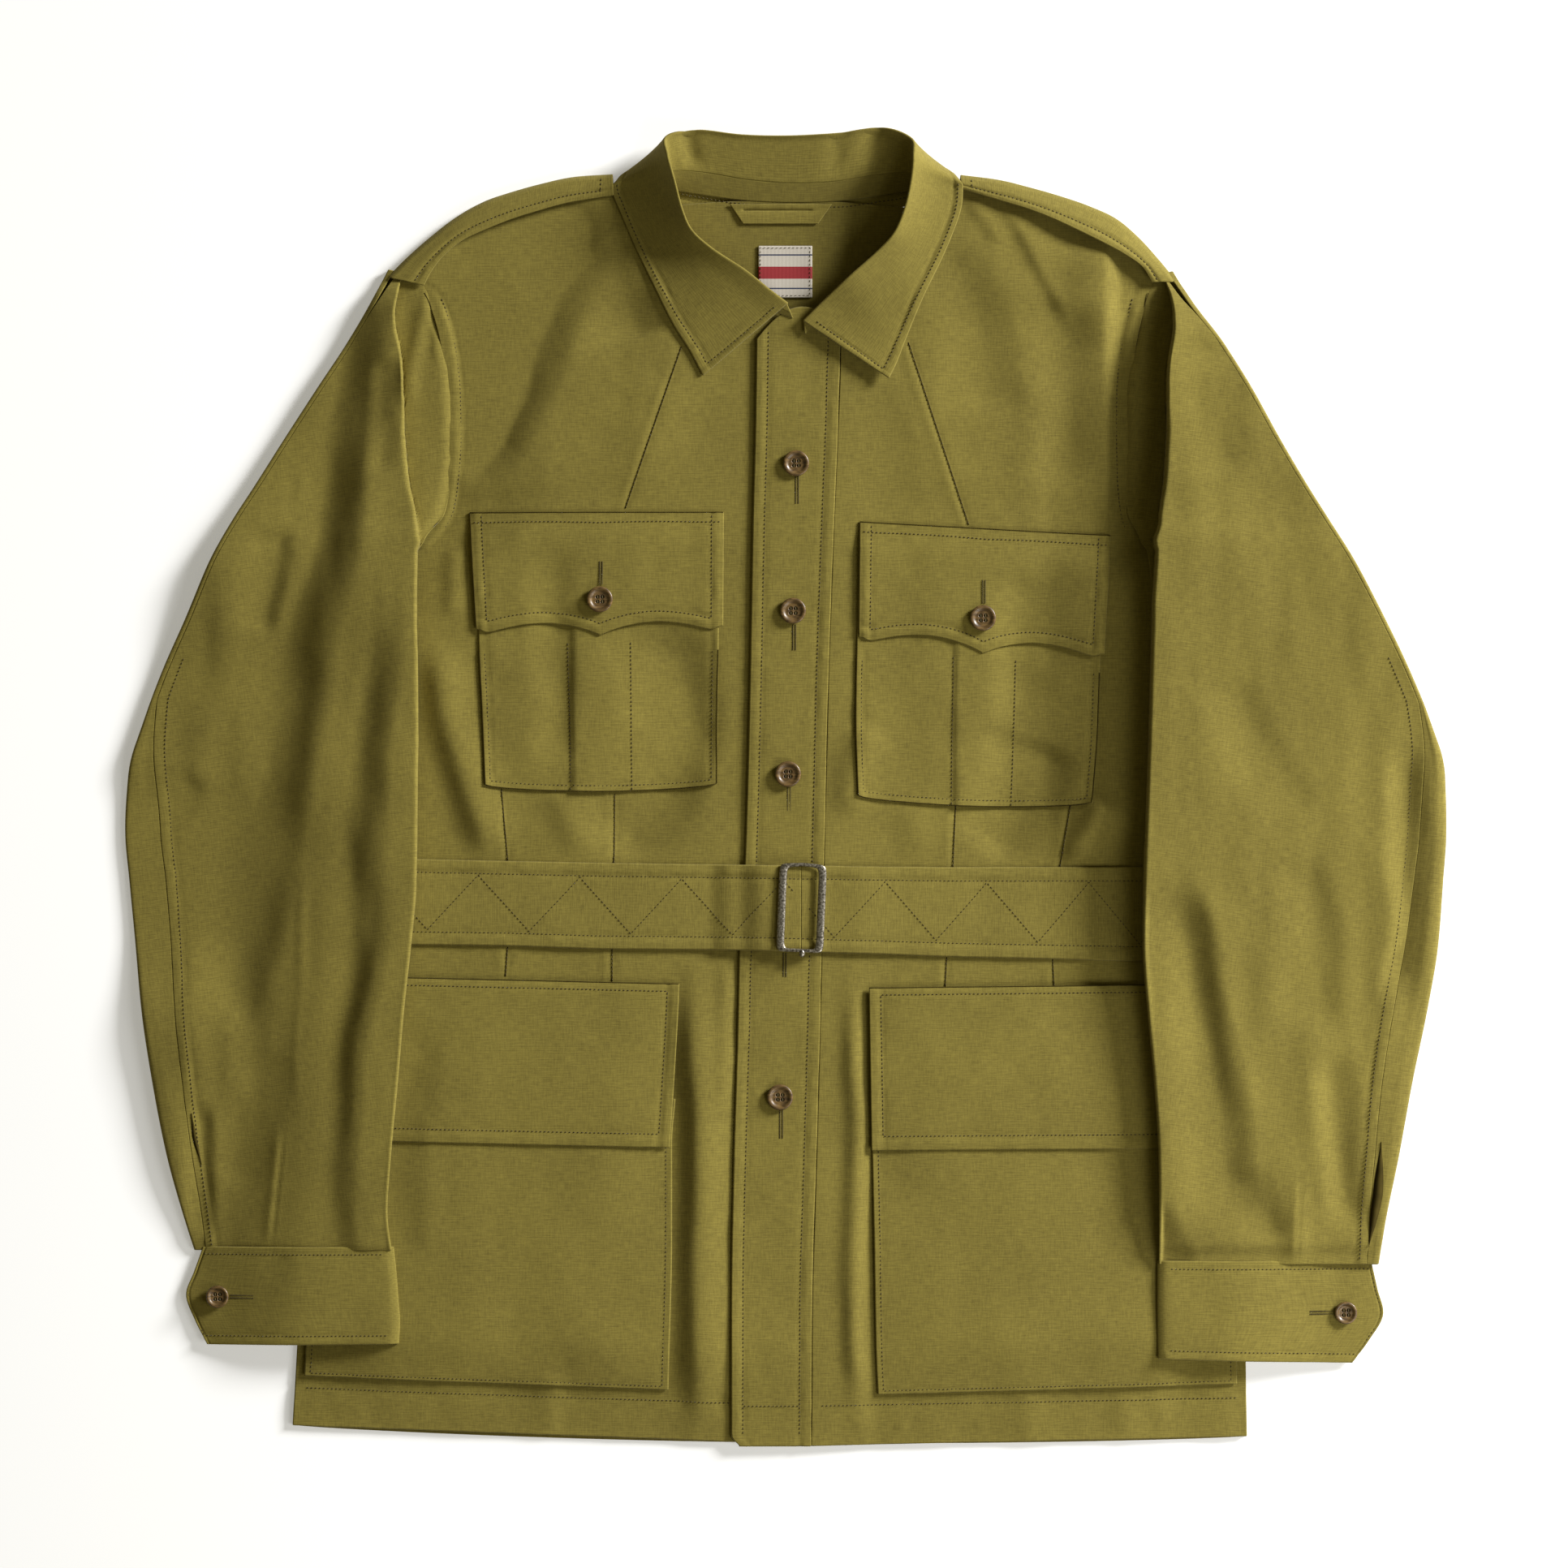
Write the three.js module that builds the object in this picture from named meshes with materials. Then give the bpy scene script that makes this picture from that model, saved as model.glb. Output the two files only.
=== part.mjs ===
// A safari jacket laid flat on its back, front up. Millimetres, +X to the wearer's left,
// +Y toward the collar, +Z up. The back panel rests on z = 0.
import * as THREE from 'three';

// Driving dimensions
const panelWall = 1.2;
const trimWall = 1.1;
const beltWall = 1.8;
const seamGap = 0.35;
const panelGap = 0.5;
const bodyLoft = 2.6;
const shoulderRaise = 1.95;
const edgeReach = 60;
const sleeveHollow = 2.4;
const sleeveHang = 44;
const sleeveSlope = 72;
const buttonRadius = 7.5;
const cuffButtonRadius = 6.5;
const buttonThick = 2.4;
const buckleWall = 1.9;
const buckleSideBar = 4.5;
const buckleEndBar = 1.9;
const placketRise = 1.7;
const placketRiseWidth = 42;
const placketClear = 0.3;
const cuffInsideHeight = 9;
const cuffPuff = 2.2;
const flapSeat = 1.6;
const flapClear = 0.3;
const pocketClear = 0.5;
const lowerFlapClear = 0.25;
const beltClear = 0.8;
const beltOverPlacket = 2.6;
const beltOverButton = 2.2;

const clothMaterial = new THREE.MeshStandardMaterial({ color: 0x7d7038, roughness: 0.92, metalness: 0 });
const shadeMaterial = new THREE.MeshStandardMaterial({ color: 0x6a5d29, roughness: 0.94, metalness: 0 });
const hornMaterial = new THREE.MeshStandardMaterial({ color: 0x5b492b, roughness: 0.38, metalness: 0 });
const nickelMaterial = new THREE.MeshStandardMaterial({ color: 0x77736a, roughness: 0.42, metalness: 0.9 });
const labelMaterial = new THREE.MeshStandardMaterial({ color: 0xd2cac0, roughness: 0.85, metalness: 0 });

const jacket = new THREE.Group();

// Small helpers

function clamp01(value) {
  return Math.min(1, Math.max(0, value));
}

function ease(value) {
  const t = clamp01(value);
  return t * t * (3 - 2 * t);
}

function mix(a, b, t) {
  return a + (b - a) * t;
}

// A table is a heading of column names and rows of numbers, kept in the order of its first column.
function table(heading, rows) {
  const names = heading.split(' ');
  return rows.map((row) => Object.fromEntries(names.map((name, k) => [name, row[k]])));
}

// Smooth value of one column at a place along the key column, held at both ends.
function lookUp(rows, key, at, column) {
  const last = rows.length - 1;
  const rising = rows[last][key] > rows[0][key];
  let k = 0;
  while (k < last - 1 && (rising ? at > rows[k + 1][key] : at < rows[k + 1][key])) k += 1;
  const t = clamp01((at - rows[k][key]) / (rows[k + 1][key] - rows[k][key]));
  const slope = (a, b) => (rows[b][column] - rows[a][column]) / (rows[b][key] - rows[a][key]);
  const step = rows[k + 1][key] - rows[k][key];
  const here = slope(k, k + 1);
  const before = k > 0 ? slope(k - 1, k) : here;
  const after = k + 2 <= last ? slope(k + 1, k + 2) : here;
  const startSlope = before * here > 0 ? (2 * before * here) / (before + here) : 0;
  const endSlope = after * here > 0 ? (2 * after * here) / (after + here) : 0;
  const t2 = t * t;
  const t3 = t2 * t;
  return (2 * t3 - 3 * t2 + 1) * rows[k][column] + (t3 - 2 * t2 + t) * step * startSlope
    + (3 * t2 - 2 * t3) * rows[k + 1][column] + (t3 - t2) * step * endSlope;
}

// Evenly spread fractions from 0 to 1.
function fractions(count) {
  return Array.from({ length: count + 1 }, (_, k) => k / count);
}

// A closed cloth wall around a grid of middle points, half its thickness to each side.
function clothWall(grid, wall) {
  const rows = grid.length;
  const columns = grid[0].length;
  const positions = [];
  const point = (i, j) => grid[Math.min(rows - 1, Math.max(0, i))][Math.min(columns - 1, Math.max(0, j))];
  for (const side of [1, -1]) {
    for (let i = 0; i < rows; i += 1) {
      for (let j = 0; j < columns; j += 1) {
        const alongRow = point(i, j + 1).clone().sub(point(i, j - 1));
        const alongColumn = point(i + 1, j).clone().sub(point(i - 1, j));
        const normal = alongRow.cross(alongColumn).normalize();
        const place = point(i, j).clone().addScaledVector(normal, side * wall / 2);
        positions.push(place.x, place.y, place.z);
      }
    }
  }
  const faces = [];
  const under = rows * columns;
  const quad = (a, b, c, d) => faces.push(a, b, c, a, c, d);
  for (let i = 0; i < rows - 1; i += 1) {
    for (let j = 0; j < columns - 1; j += 1) {
      const a = i * columns + j;
      quad(a, a + 1, a + columns + 1, a + columns);
      quad(under + a, under + a + columns, under + a + columns + 1, under + a + 1);
    }
  }
  for (let j = 0; j < columns - 1; j += 1) {
    const top = (rows - 1) * columns + j;
    quad(under + j, under + j + 1, j + 1, j);
    quad(top, top + 1, under + top + 1, under + top);
  }
  for (let i = 0; i < rows - 1; i += 1) {
    const left = i * columns;
    const right = left + columns - 1;
    quad(left, left + columns, under + left + columns, under + left);
    quad(under + right, under + right + columns, right + columns, right);
  }
  return closedGeometry(positions, faces);
}

// Faces are turned outward when the enclosed volume comes out negative.
function closedGeometry(positions, faces) {
  let volume = 0;
  const corner = (k) => new THREE.Vector3().fromArray(positions, faces[k] * 3);
  for (let k = 0; k < faces.length; k += 3) {
    volume += corner(k).dot(corner(k + 1).cross(corner(k + 2)));
  }
  if (volume < 0) {
    for (let k = 0; k < faces.length; k += 3) {
      [faces[k + 1], faces[k + 2]] = [faces[k + 2], faces[k + 1]];
    }
  }
  const geometry = new THREE.BufferGeometry();
  geometry.setAttribute('position', new THREE.Float32BufferAttribute(positions, 3));
  geometry.setIndex(faces);
  geometry.computeVertexNormals();
  return geometry;
}

function addPiece(name, geometry, material) {
  const mesh = new THREE.Mesh(geometry, material);
  mesh.name = name;
  jacket.add(mesh);
  return mesh;
}

// Ridges (height above 0) and troughs (below 0) laid along straight lines, soft across and at both ends.
function foldHeight(folds, x, y) {
  let height = 0;
  for (const fold of folds) {
    const dx = fold.x2 - fold.x1;
    const dy = fold.y2 - fold.y1;
    const length = Math.hypot(dx, dy);
    const along = ((x - fold.x1) * dx + (y - fold.y1) * dy) / (length * length);
    const across = ((x - fold.x1) * dy - (y - fold.y1) * dx) / length;
    const crest = Math.cos(Math.min(1, Math.abs(across) / (fold.width / 2)) * Math.PI / 2) ** 2;
    height += fold.height * crest * ease(along / 0.25) * ease((1 - along) / 0.25);
  }
  return height;
}

// Outline of the body, one side each: hem, side seam, armhole, shoulder tip
const bodyRight = table('y x', [
  [-377, -284], [-296, -280], [-202, -274.5], [-110, -269], [-66, -266], [0, -264.5], [80, -262], [93, -261],
  [105, -252], [117, -239.5], [129, -225.5], [139, -213], [148, -204.4], [159, -198.2], [179, -194.8],
  [203, -193.4], [227, -193.8], [251, -196.2], [270, -200.3], [286, -206.5], [296, -222],
]);
const bodyLeft = table('y x', [
  [-377, 267.5], [-296, 266.5], [-202, 265.5], [-110, 264.6], [-66, 265], [0, 266.5], [80, 269], [93, 268],
  [105, 254.5], [117, 238.5], [129, 222.5], [139, 210.8], [148, 205], [159, 201.4], [179, 199.4],
  [203, 198.9], [227, 199], [251, 201.3], [270, 205.2], [286, 209.2], [296, 218],
]);
const placketEdges = table('y left right', [
  [-380.5, -30.1, 15.6], [-298, -30.1, 16], [-217, -28.7, 18.4], [-136, -26.3, 20.7], [-95, -25.4, 21.6],
  [-42, -22.1, 23], [61, -19.3, 25.4], [153, -17.6, 28.7], [208, -16.2, 31], [262, -15.5, 32.6],
]);
const hemLine = table('x y', [
  [-284, -368.6], [-228, -372.7], [-172, -374.6], [-116, -376.5], [-31, -377.4], [16, -380.4],
  [110, -379.3], [166, -377.4], [223, -376], [267.5, -375],
]);

function hemAt(x) {
  return lookUp(hemLine, 'x', x, 'y');
}

function placketRightAt(y) {
  return lookUp(placketEdges, 'y', y, 'right');
}

// Rows of a front from the hem to the shoulder edge: outer end, inner end and upward bow of each
const rightFrontRows = table('outerX outerY innerX innerY bow', [
  [-284, -368.6, 12.4, -379.4, 0], [-282.2, -340, 13.2, -350, 0], [-279.7, -292, 13.6, -300, 0],
  [-275.8, -224, 15.5, -230, 0], [-272, -160, 17, -164, 0], [-268.4, -100, 18.6, -102, 0],
  [-266, -66, 19.2, -68, 0], [-264.6, -20, 20.4, -20, 0], [-263.6, 24, 21.6, 24, 0], [-262, 72, 22.6, 72, 0],
  [-261, 93, 23.4, 97, 0], [-239.5, 117, 24, 124, 0], [-213, 139, 25, 150, 0], [-198.2, 159, 26, 176, 0],
  [-194.6, 182, 26.8, 204, 1], [-193.8, 210, 27.6, 238, 3], [-194.6, 237, 4, 269, 5], [-197.8, 260, -17, 277.4, 9],
  [-202, 275, -38, 290.5, 14], [-207, 286.4, -54.5, 305.5, 18], [-213.5, 291.5, -65, 324, 21],
  [-222, 296, -71, 343, 23],
]);
const leftFrontRows = table('outerX outerY innerX innerY bow', [
  [267.5, -375, 16, -380.4, 0], [267, -346, 16.3, -350, 0], [266.5, -300, 16.5, -302, 0],
  [265.8, -230, 18.5, -232, 0], [265.1, -164, 20.4, -164, 0], [264.7, -100, 21.9, -102, 0],
  [265, -66, 22.8, -68, 0], [266.1, -20, 23.8, -20, 0], [267.2, 24, 25, 24, 0], [268.8, 72, 26.1, 72, 0],
  [268, 93, 27, 97, 0], [238.5, 117, 28, 124, 0], [210.8, 139, 29, 150, 0], [201.4, 159, 30.1, 176, 0],
  [199.4, 182, 31.3, 204, 1], [198.8, 210, 32.6, 236, 3], [199.8, 237, 33, 253.5, 5], [202.8, 260, 31, 277.5, 9],
  [206, 274, 51, 290.5, 14], [209.2, 286, 67.7, 305.5, 18], [212.5, 291, 78, 324, 21], [218, 296, 82, 343, 22],
]);
const backRows = table('leftX leftY rightX rightY bow', [
  [-284, -368.6, 267.5, -375, -7], [-280, -296, 266.5, -300, 0], [-274.5, -202, 265.5, -202, 0],
  [-269, -110, 264.6, -110, 0], [-264.5, 0, 266.5, 0, 0], [-262, 80, 269, 80, 0], [-239.5, 117, 238.5, 117, 0],
  [-213, 139, 210.8, 139, 0], [-198.2, 159, 201.4, 159, 0], [-194.8, 179, 199.4, 179, 0],
  [-193.6, 203, 199, 203, 0], [-193.8, 227, 199, 227, 0], [-195.6, 246, 200.6, 246, 3],
  [-199.4, 265, 204.2, 265, 9], [-206, 285, 209, 285, 12], [-212, 291, 212, 291, 30], [-222, 296, 218, 296, 41.5],
]);

const bodyFolds = table('x1 y1 x2 y2 width height', [
  [-86, 312, -180, 180, 46, -2.4], [-128, 300, -196, 232, 34, 1.8], [-96, 240, -186, 172, 34, -1.6],
  [-200, 112, -184, -34, 26, 2.6], [-74, 2, -22, -40, 22, 1.6], [-42, -90, -42, -384, 18, 2.6],
  [-54, -96, -55, -370, 14, -1], [128, 336, 164, 262, 32, -2], [104, 300, 140, 236, 34, 1.4],
  [190, 300, 184, 168, 36, -2.2], [206, -8, 158, -46, 24, 1.8], [44, -90, 38, -372, 16, 2.4],
  [140, -330, 150, -386, 34, 1], [-150, -328, -160, -384, 34, 1],
]);

// The shoulder edge as seen from above, with the neck opening between its two halves
const shoulderEdge = table('x y', [
  [-222, 296], [-209, 309], [-199, 318], [-185, 328], [-156, 340], [-116, 348.4], [-71, 343], [-31, 338],
  [4, 336], [37, 337], [82, 343], [117, 348.4], [157, 339.2], [188, 327], [205, 313], [218, 296],
]);

function sideDistance(x, y) {
  return Math.min(x - lookUp(bodyRight, 'y', y, 'x'), lookUp(bodyLeft, 'y', y, 'x') - x);
}

// The belt and the pockets hold the cloth beneath them nearly flat.
function pressed(y) {
  return ease((Math.abs(y + 70) - 26) / 26);
}

// Underside of the back panel: flat on the floor, lifted near the shoulders for what folds under them.
function backUnderside(x, y) {
  const fromShoulder = lookUp(shoulderEdge, 'x', x, 'y') - y;
  return shoulderRaise * (1 - ease((fromShoulder - 52) / 30));
}

function backMiddle(x, y) {
  return backUnderside(x, y) + panelWall / 2;
}

// Middle of a front panel above the back panel.
function frontMiddle(x, y) {
  const fromSide = ease(sideDistance(x, y) / edgeReach);
  const fromHem = ease((y - hemAt(x)) / edgeReach);
  const fromShoulder = ease((lookUp(shoulderEdge, 'x', x, 'y') - y) / edgeReach);
  const lift = fromSide * fromHem * fromShoulder;
  const folds = foldHeight(bodyFolds, x, y) * pressed(y) * (0.35 + 0.65 * ease(sideDistance(x, y) / 20));
  const low = backMiddle(x, y) + panelWall + panelGap;
  return low + Math.max(0, bodyLoft * lift + folds * (0.4 + 0.6 * fromHem));
}

// The left front steps up beside the placket, which lies on the right front.
function placketStep(x, y) {
  return placketRise * (1 - ease((x - placketRightAt(y)) / placketRiseWidth));
}

function frontTop(x, y) {
  const onLeftFront = x > placketRightAt(y) - 0.5;
  return frontMiddle(x, y) + panelWall / 2 + (onLeftFront ? placketStep(x, y) : 0);
}

// Grid of a panel whose rows run between two outline points each, bowed toward the shoulder edge.
function bowedPanel(rows, columns, ends, height) {
  return rows.map((row) => columns.map((u) => {
    const [x0, y0, x1, y1] = ends(row);
    const x = mix(x0, x1, u);
    const y = mix(y0, y1, u) + row.bow * Math.sin(Math.PI * clamp01(u)) ** 0.75;
    return new THREE.Vector3(x, y, height(x, y));
  }));
}

function makeBack() {
  const columns = [0, 0.04, 0.13, 0.24, 0.36, 0.46, 0.54, 0.64, 0.76, 0.87, 0.96, 1];
  const ends = (row) => [row.leftX, row.leftY, row.rightX, row.rightY];
  const grid = bowedPanel(backRows, columns, ends, backMiddle);
  addPiece('back', clothWall(grid, panelWall), shadeMaterial);
}

const frontColumns = [0, 0.05, 0.12, 0.2, 0.3, 0.4, 0.5, 0.6, 0.68, 0.75, 0.8, 0.84, 0.88, 0.93, 1];

function makeFronts() {
  const ends = (row) => [row.outerX, row.outerY, row.innerX, row.innerY];
  const right = bowedPanel(rightFrontRows, frontColumns, ends, frontMiddle);
  addPiece('front_right', clothWall(right, panelWall), clothMaterial);
  const raised = (x, y) => frontMiddle(x, y) + placketStep(x, y);
  const left = bowedPanel(leftFrontRows, frontColumns, ends, raised);
  addPiece('front_left', clothWall(left, panelWall), clothMaterial);
}

// The placket is a folded band along the left front, lying over the right front.
const placketWall = 1.7;
const placketTopEnd = 251;
const placketBottomEnd = -380.4;

function placketMiddle(x, y) {
  return frontMiddle(x, y) + panelWall / 2 + seamGap + placketWall / 2 + placketClear;
}

function placketTop(x, y) {
  return placketMiddle(x, y) + placketWall / 2;
}

function makePlacket() {
  const grid = fractions(26).map((v) => {
    const y = mix(placketBottomEnd, placketTopEnd, v);
    const left = lookUp(placketEdges, 'y', y, 'left') + (v === 0 ? 3 : 0);
    const right = placketRightAt(y) - seamGap;
    return [0, 0.15, 0.5, 0.85, 1].map((u) => {
      const x = mix(left, right, u);
      return new THREE.Vector3(x, y, placketMiddle(Math.min(x, right - 4), y));
    });
  });
  addPiece('placket', clothWall(grid, placketWall), clothMaterial);
}

// Sleeves. The columns give the silhouette, the armhole or inner fold, how far the back seam lies inside
// the silhouette, the height of both layers at the inner end, and the height of the ridge beside it.
const rightSleeveRows = table('outerX outerY innerX innerY seamIn under top ridge', [
  [-231, 293.2, -208.6, 287.4, 0, 0.6, 3.9, 1], [-240, 278, -203.6, 274, 0, 0.6, 3.9, 3.4],
  [-254, 254.5, -197.8, 256, 0, 0.6, 3.7, 4.2], [-270.2, 230, -194.6, 230, 0, 0.6, 3.7, 4.2],
  [-289, 201, -193.9, 204, 0, 0.6, 3.7, 4], [-306, 174, -196, 178, 0, 1.5, 4.3, 3.6],
  [-318.5, 154.5, -200, 158.4, 0, 3.4, 5.6, 3.2], [-331, 132, -210.6, 141.5, 0, 6, 7.6, 3],
  [-345.6, 98, -211.4, 104, 0, 6.4, 8, 2.6], [-359.5, 67, -210.6, 70, 0.2, 6.4, 8, 2.4],
  [-370.5, 37, -210.4, 38, 6, 6.6, 8.2, 2.4], [-378.5, 9, -210.8, 9, 14, 7.4, 9, 2.4],
  [-380.6, -24, -211, -24, 19, 8.2, 9.8, 2.4], [-378, -55, -211.4, -55, 19.8, 9, 10.6, 2.4],
  [-374.6, -90, -214.3, -90, 19.4, 10.2, 11.8, 2.4], [-370.8, -128, -218.4, -128, 18.2, 11.3, 12.9, 2.4],
  [-364.6, -170, -222, -170, 16.5, 11.3, 12.9, 2.4], [-356.5, -212, -226, -212, 13.5, 11, 12.6, 2.4],
  [-348, -244, -228.2, -244, 10, 9.8, 11.4, 2.4], [-341, -265.4, -226, -264.6, 6, 9, 10.6, 2.4],
]);
const leftSleeveRows = table('outerX outerY innerX innerY seamIn under top ridge', [
  [228.4, 291, 212.2, 287.6, 0, 0.6, 3.9, 1], [237, 278, 207, 274, 0, 0.6, 3.9, 3.4],
  [253, 255.5, 203.3, 256, 0, 0.6, 3.7, 4.2], [268.4, 230.3, 199.4, 230, 0, 0.6, 3.7, 4.2],
  [284.5, 201, 199.3, 204, 0, 0.6, 3.7, 4], [300.3, 174, 200.2, 178, 0, 1.5, 4.3, 3.6],
  [312.5, 154.5, 202.2, 158.4, 0, 3.4, 5.6, 3.2], [326.5, 132, 209.4, 141.5, 0, 6, 7.6, 3],
  [344.4, 98, 211.2, 104, 0, 6.4, 8, 2.6], [359.5, 67, 210.4, 70, 0.2, 6.4, 8, 2.4],
  [372, 37, 209.6, 38, 5, 6.6, 8.2, 2.4], [380, 9, 208.6, 9, 11.5, 7.4, 9, 2.4],
  [381, -24, 207.4, -24, 14.5, 8.2, 9.8, 2.4], [379.1, -55, 206.4, -55, 16, 9, 10.6, 2.4],
  [376.5, -90, 206, -90, 18, 10.2, 11.8, 2.4], [370.5, -128, 208.7, -128, 19, 11.3, 12.9, 2.4],
  [362, -170, 212.6, -170, 17, 11.3, 12.9, 2.4], [354.5, -212, 215.2, -212, 13.5, 11, 12.6, 2.4],
  [347.2, -250, 215.7, -250, 9, 9.8, 11.4, 2.4], [343.6, -273.4, 215.8, -272.6, 6, 9, 10.6, 2.4],
]);
const sleeveFolds = {
  right: table('x1 y1 x2 y2 width height', [
    [-282, 132, -296, 66, 34, -1.6], [-268, 110, -270, 20, 22, 2.2], [-281, -10, -282, -190, 20, 1.8],
    [-240, -4, -240, -232, 24, -1.4], [-300, 240, -320, 150, 30, 1.6], [-330, 30, -350, -10, 22, 1.6],
    [-262, 200, -292, 130, 30, -1.4],
  ]),
  left: table('x1 y1 x2 y2 width height', [
    [262, 130, 284, 20, 30, -1.6], [284, 100, 300, 30, 28, 1.6], [282, -92, 284, -190, 20, 1.8],
    [266, -120, 268, -256, 32, -1.6], [238, -196, 236, -270, 24, -1.2], [300, 230, 330, 140, 30, 1.6],
    [250, 210, 272, 140, 26, -1.4],
  ]),
};
const hiddenSeam = 2.4;
const edgeRoll = 0.9;

// Where the sleeve's back seam runs, measured in from the silhouette.
function seamAt(row) {
  return Math.max(hiddenSeam, row.seamIn) + edgeRoll;
}

// Height of the middle of the under layer: on the floor outside, up over the body's side inside.
function sleeveUnder(row, beyondBody) {
  const climb = 1 - ease((beyondBody - 1.5) / sleeveHang);
  return mix(panelWall / 2, row.under, climb);
}

// Height of the middle of the top layer, rounded down at the inner fold and the silhouette.
function sleeveTop(row, inward, width, beyondBody) {
  const slope = 1 - ease((beyondBody + 10) / sleeveSlope);
  const settled = mix(panelWall / 2, row.under, slope) + panelWall + seamGap;
  const endLift = (row.top - row.under - panelWall - seamGap) * (1 - ease(inward / 30));
  const innerRound = Math.sqrt(1 - (1 - clamp01(inward / 13)) ** 2);
  const outerRound = Math.sqrt(1 - (1 - clamp01((width - inward) / 14)) ** 2);
  const hollow = mix(sleeveHollow, row.ridge, 1 - ease((inward - 12) / 40));
  return settled + endLift + hollow * innerRound * outerRound;
}

// How far a point lies outside the body's side edge; above the armhole it is the way from the seam.
function beyondBodyAt(side, x, y, inward) {
  const outline = side === 'right' ? bodyRight : bodyLeft;
  const reach = Math.abs(x) - Math.abs(lookUp(outline, 'y', y, 'x'));
  return y > 141 ? inward : mix(reach, inward, ease((y - 112) / 29));
}

function makeSleeve(side, rows) {
  const outward = side === 'right' ? -1 : 1;
  const folds = sleeveFolds[side];
  const sample = (row, inward) => {
    const width = Math.abs(row.outerX - row.innerX);
    const u = inward / width;
    const x = mix(row.innerX, row.outerX, u);
    const y = mix(row.innerY, row.outerY, u);
    const beyond = beyondBodyAt(side, x, y, inward);
    const crease = foldHeight(folds, x, y) * ease(inward / 14) * ease((width - inward) / 24);
    return { x, y, width, beyond, crease };
  };
  const topPoint = (row, inward) => {
    const at = sample(row, inward);
    const z = sleeveTop(row, inward, at.width, at.beyond) + at.crease;
    return new THREE.Vector3(at.x, at.y, z);
  };
  const underPoint = (row, inward) => {
    const at = sample(row, inward);
    return new THREE.Vector3(at.x, at.y, sleeveUnder(row, at.beyond));
  };
  const topShares = [0, 0.02, 0.05, 0.1, 0.18, 0.3, 0.42, 0.54, 0.66, 0.78, 0.88, 0.95, 1];
  const underShares = [0.97, 0.89, 0.76, 0.62, 0.5, 0.38, 0.26, 0.13, 0];
  const top = rows.map((row) => {
    const reach = Math.abs(row.outerX - row.innerX) - seamAt(row);
    return topShares.map((u) => topPoint(row, u * reach));
  });
  addPiece(`sleeve_top_${side}`, clothWall(top, panelWall), clothMaterial);
  const under = rows.map((row) => {
    const width = Math.abs(row.outerX - row.innerX);
    const start = width - seamAt(row) + 0.8;
    const wrap = [0, 0.5, 1].map((u) => topPoint(row, mix(start, width - 0.5, u)));
    const edge = underPoint(row, width - 0.8);
    const rim = wrap[2].clone().lerp(edge, 0.5);
    rim.x = row.outerX - outward * panelWall / 2;
    const bottom = underShares.map((u) => underPoint(row, mix(1, width, u)));
    return [...wrap, rim, ...bottom];
  });
  addPiece(`sleeve_under_${side}`, clothWall(under, panelWall), shadeMaterial);
}

// Cuffs: a band folded round the wrist, its outer end pointed and buttoned over the under end.
const rightCuffRows = table('outerX outerY innerX innerY', [
  [-335.8, -267.4, -225.6, -266.6], [-341, -280, -224, -280], [-345.6, -293.5, -223, -293.5],
  [-340.4, -308, -222, -307.5], [-333.4, -321.6, -222.6, -320.4],
]);
const leftCuffRows = table('outerX outerY innerX innerY', [
  [339.4, -275.6, 215.8, -274.8], [343, -290, 215.7, -289], [346.3, -305, 215.7, -302],
  [338.5, -319, 215.9, -316], [328.6, -332.4, 216.2, -329],
]);
const cuffTab = 14;

function cuffTopHeight(inward, beyond, width) {
  const slope = 1 - ease((beyond + 10) / sleeveSlope);
  const base = mix(panelWall / 2, cuffInsideHeight, slope) + panelWall + seamGap;
  return base + cuffPuff * Math.sqrt(1 - (1 - clamp01(inward / 8)) ** 2) * ease((width - inward + 20) / 40);
}

function cuffUnderHeight(beyond) {
  return mix(panelWall / 2, cuffInsideHeight, 1 - ease((beyond - 1.5) / sleeveHang));
}

function makeCuff(side, rows) {
  const outward = side === 'right' ? -1 : 1;
  const grid = rows.map((row) => {
    const width = Math.abs(row.outerX - row.innerX);
    const at = (inward) => {
      const u = inward / width;
      const x = mix(row.innerX, row.outerX, u);
      const y = mix(row.innerY, row.outerY, u);
      return { x, y, beyond: beyondBodyAt(side, x, y, inward) };
    };
    const top = [1, 0.94, 0.85, 0.7, 0.55, 0.4, 0.25, 0.12, 0.03].map((u) => {
      const place = at(u * width);
      return new THREE.Vector3(place.x, place.y, cuffTopHeight(u * width, place.beyond, width));
    });
    const under = [0.03, 0.12, 0.25, 0.4, 0.55, 0.7, 0.85].map((u) => {
      const place = at(u * (width - cuffTab));
      return new THREE.Vector3(place.x, place.y, cuffUnderHeight(place.beyond));
    });
    const rim = top[8].clone().lerp(under[0], 0.5);
    rim.x = row.innerX - outward * 0.1;
    return [...top, rim, ...under];
  });
  addPiece(`cuff_${side}`, clothWall(grid, panelWall), clothMaterial);
}

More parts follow.
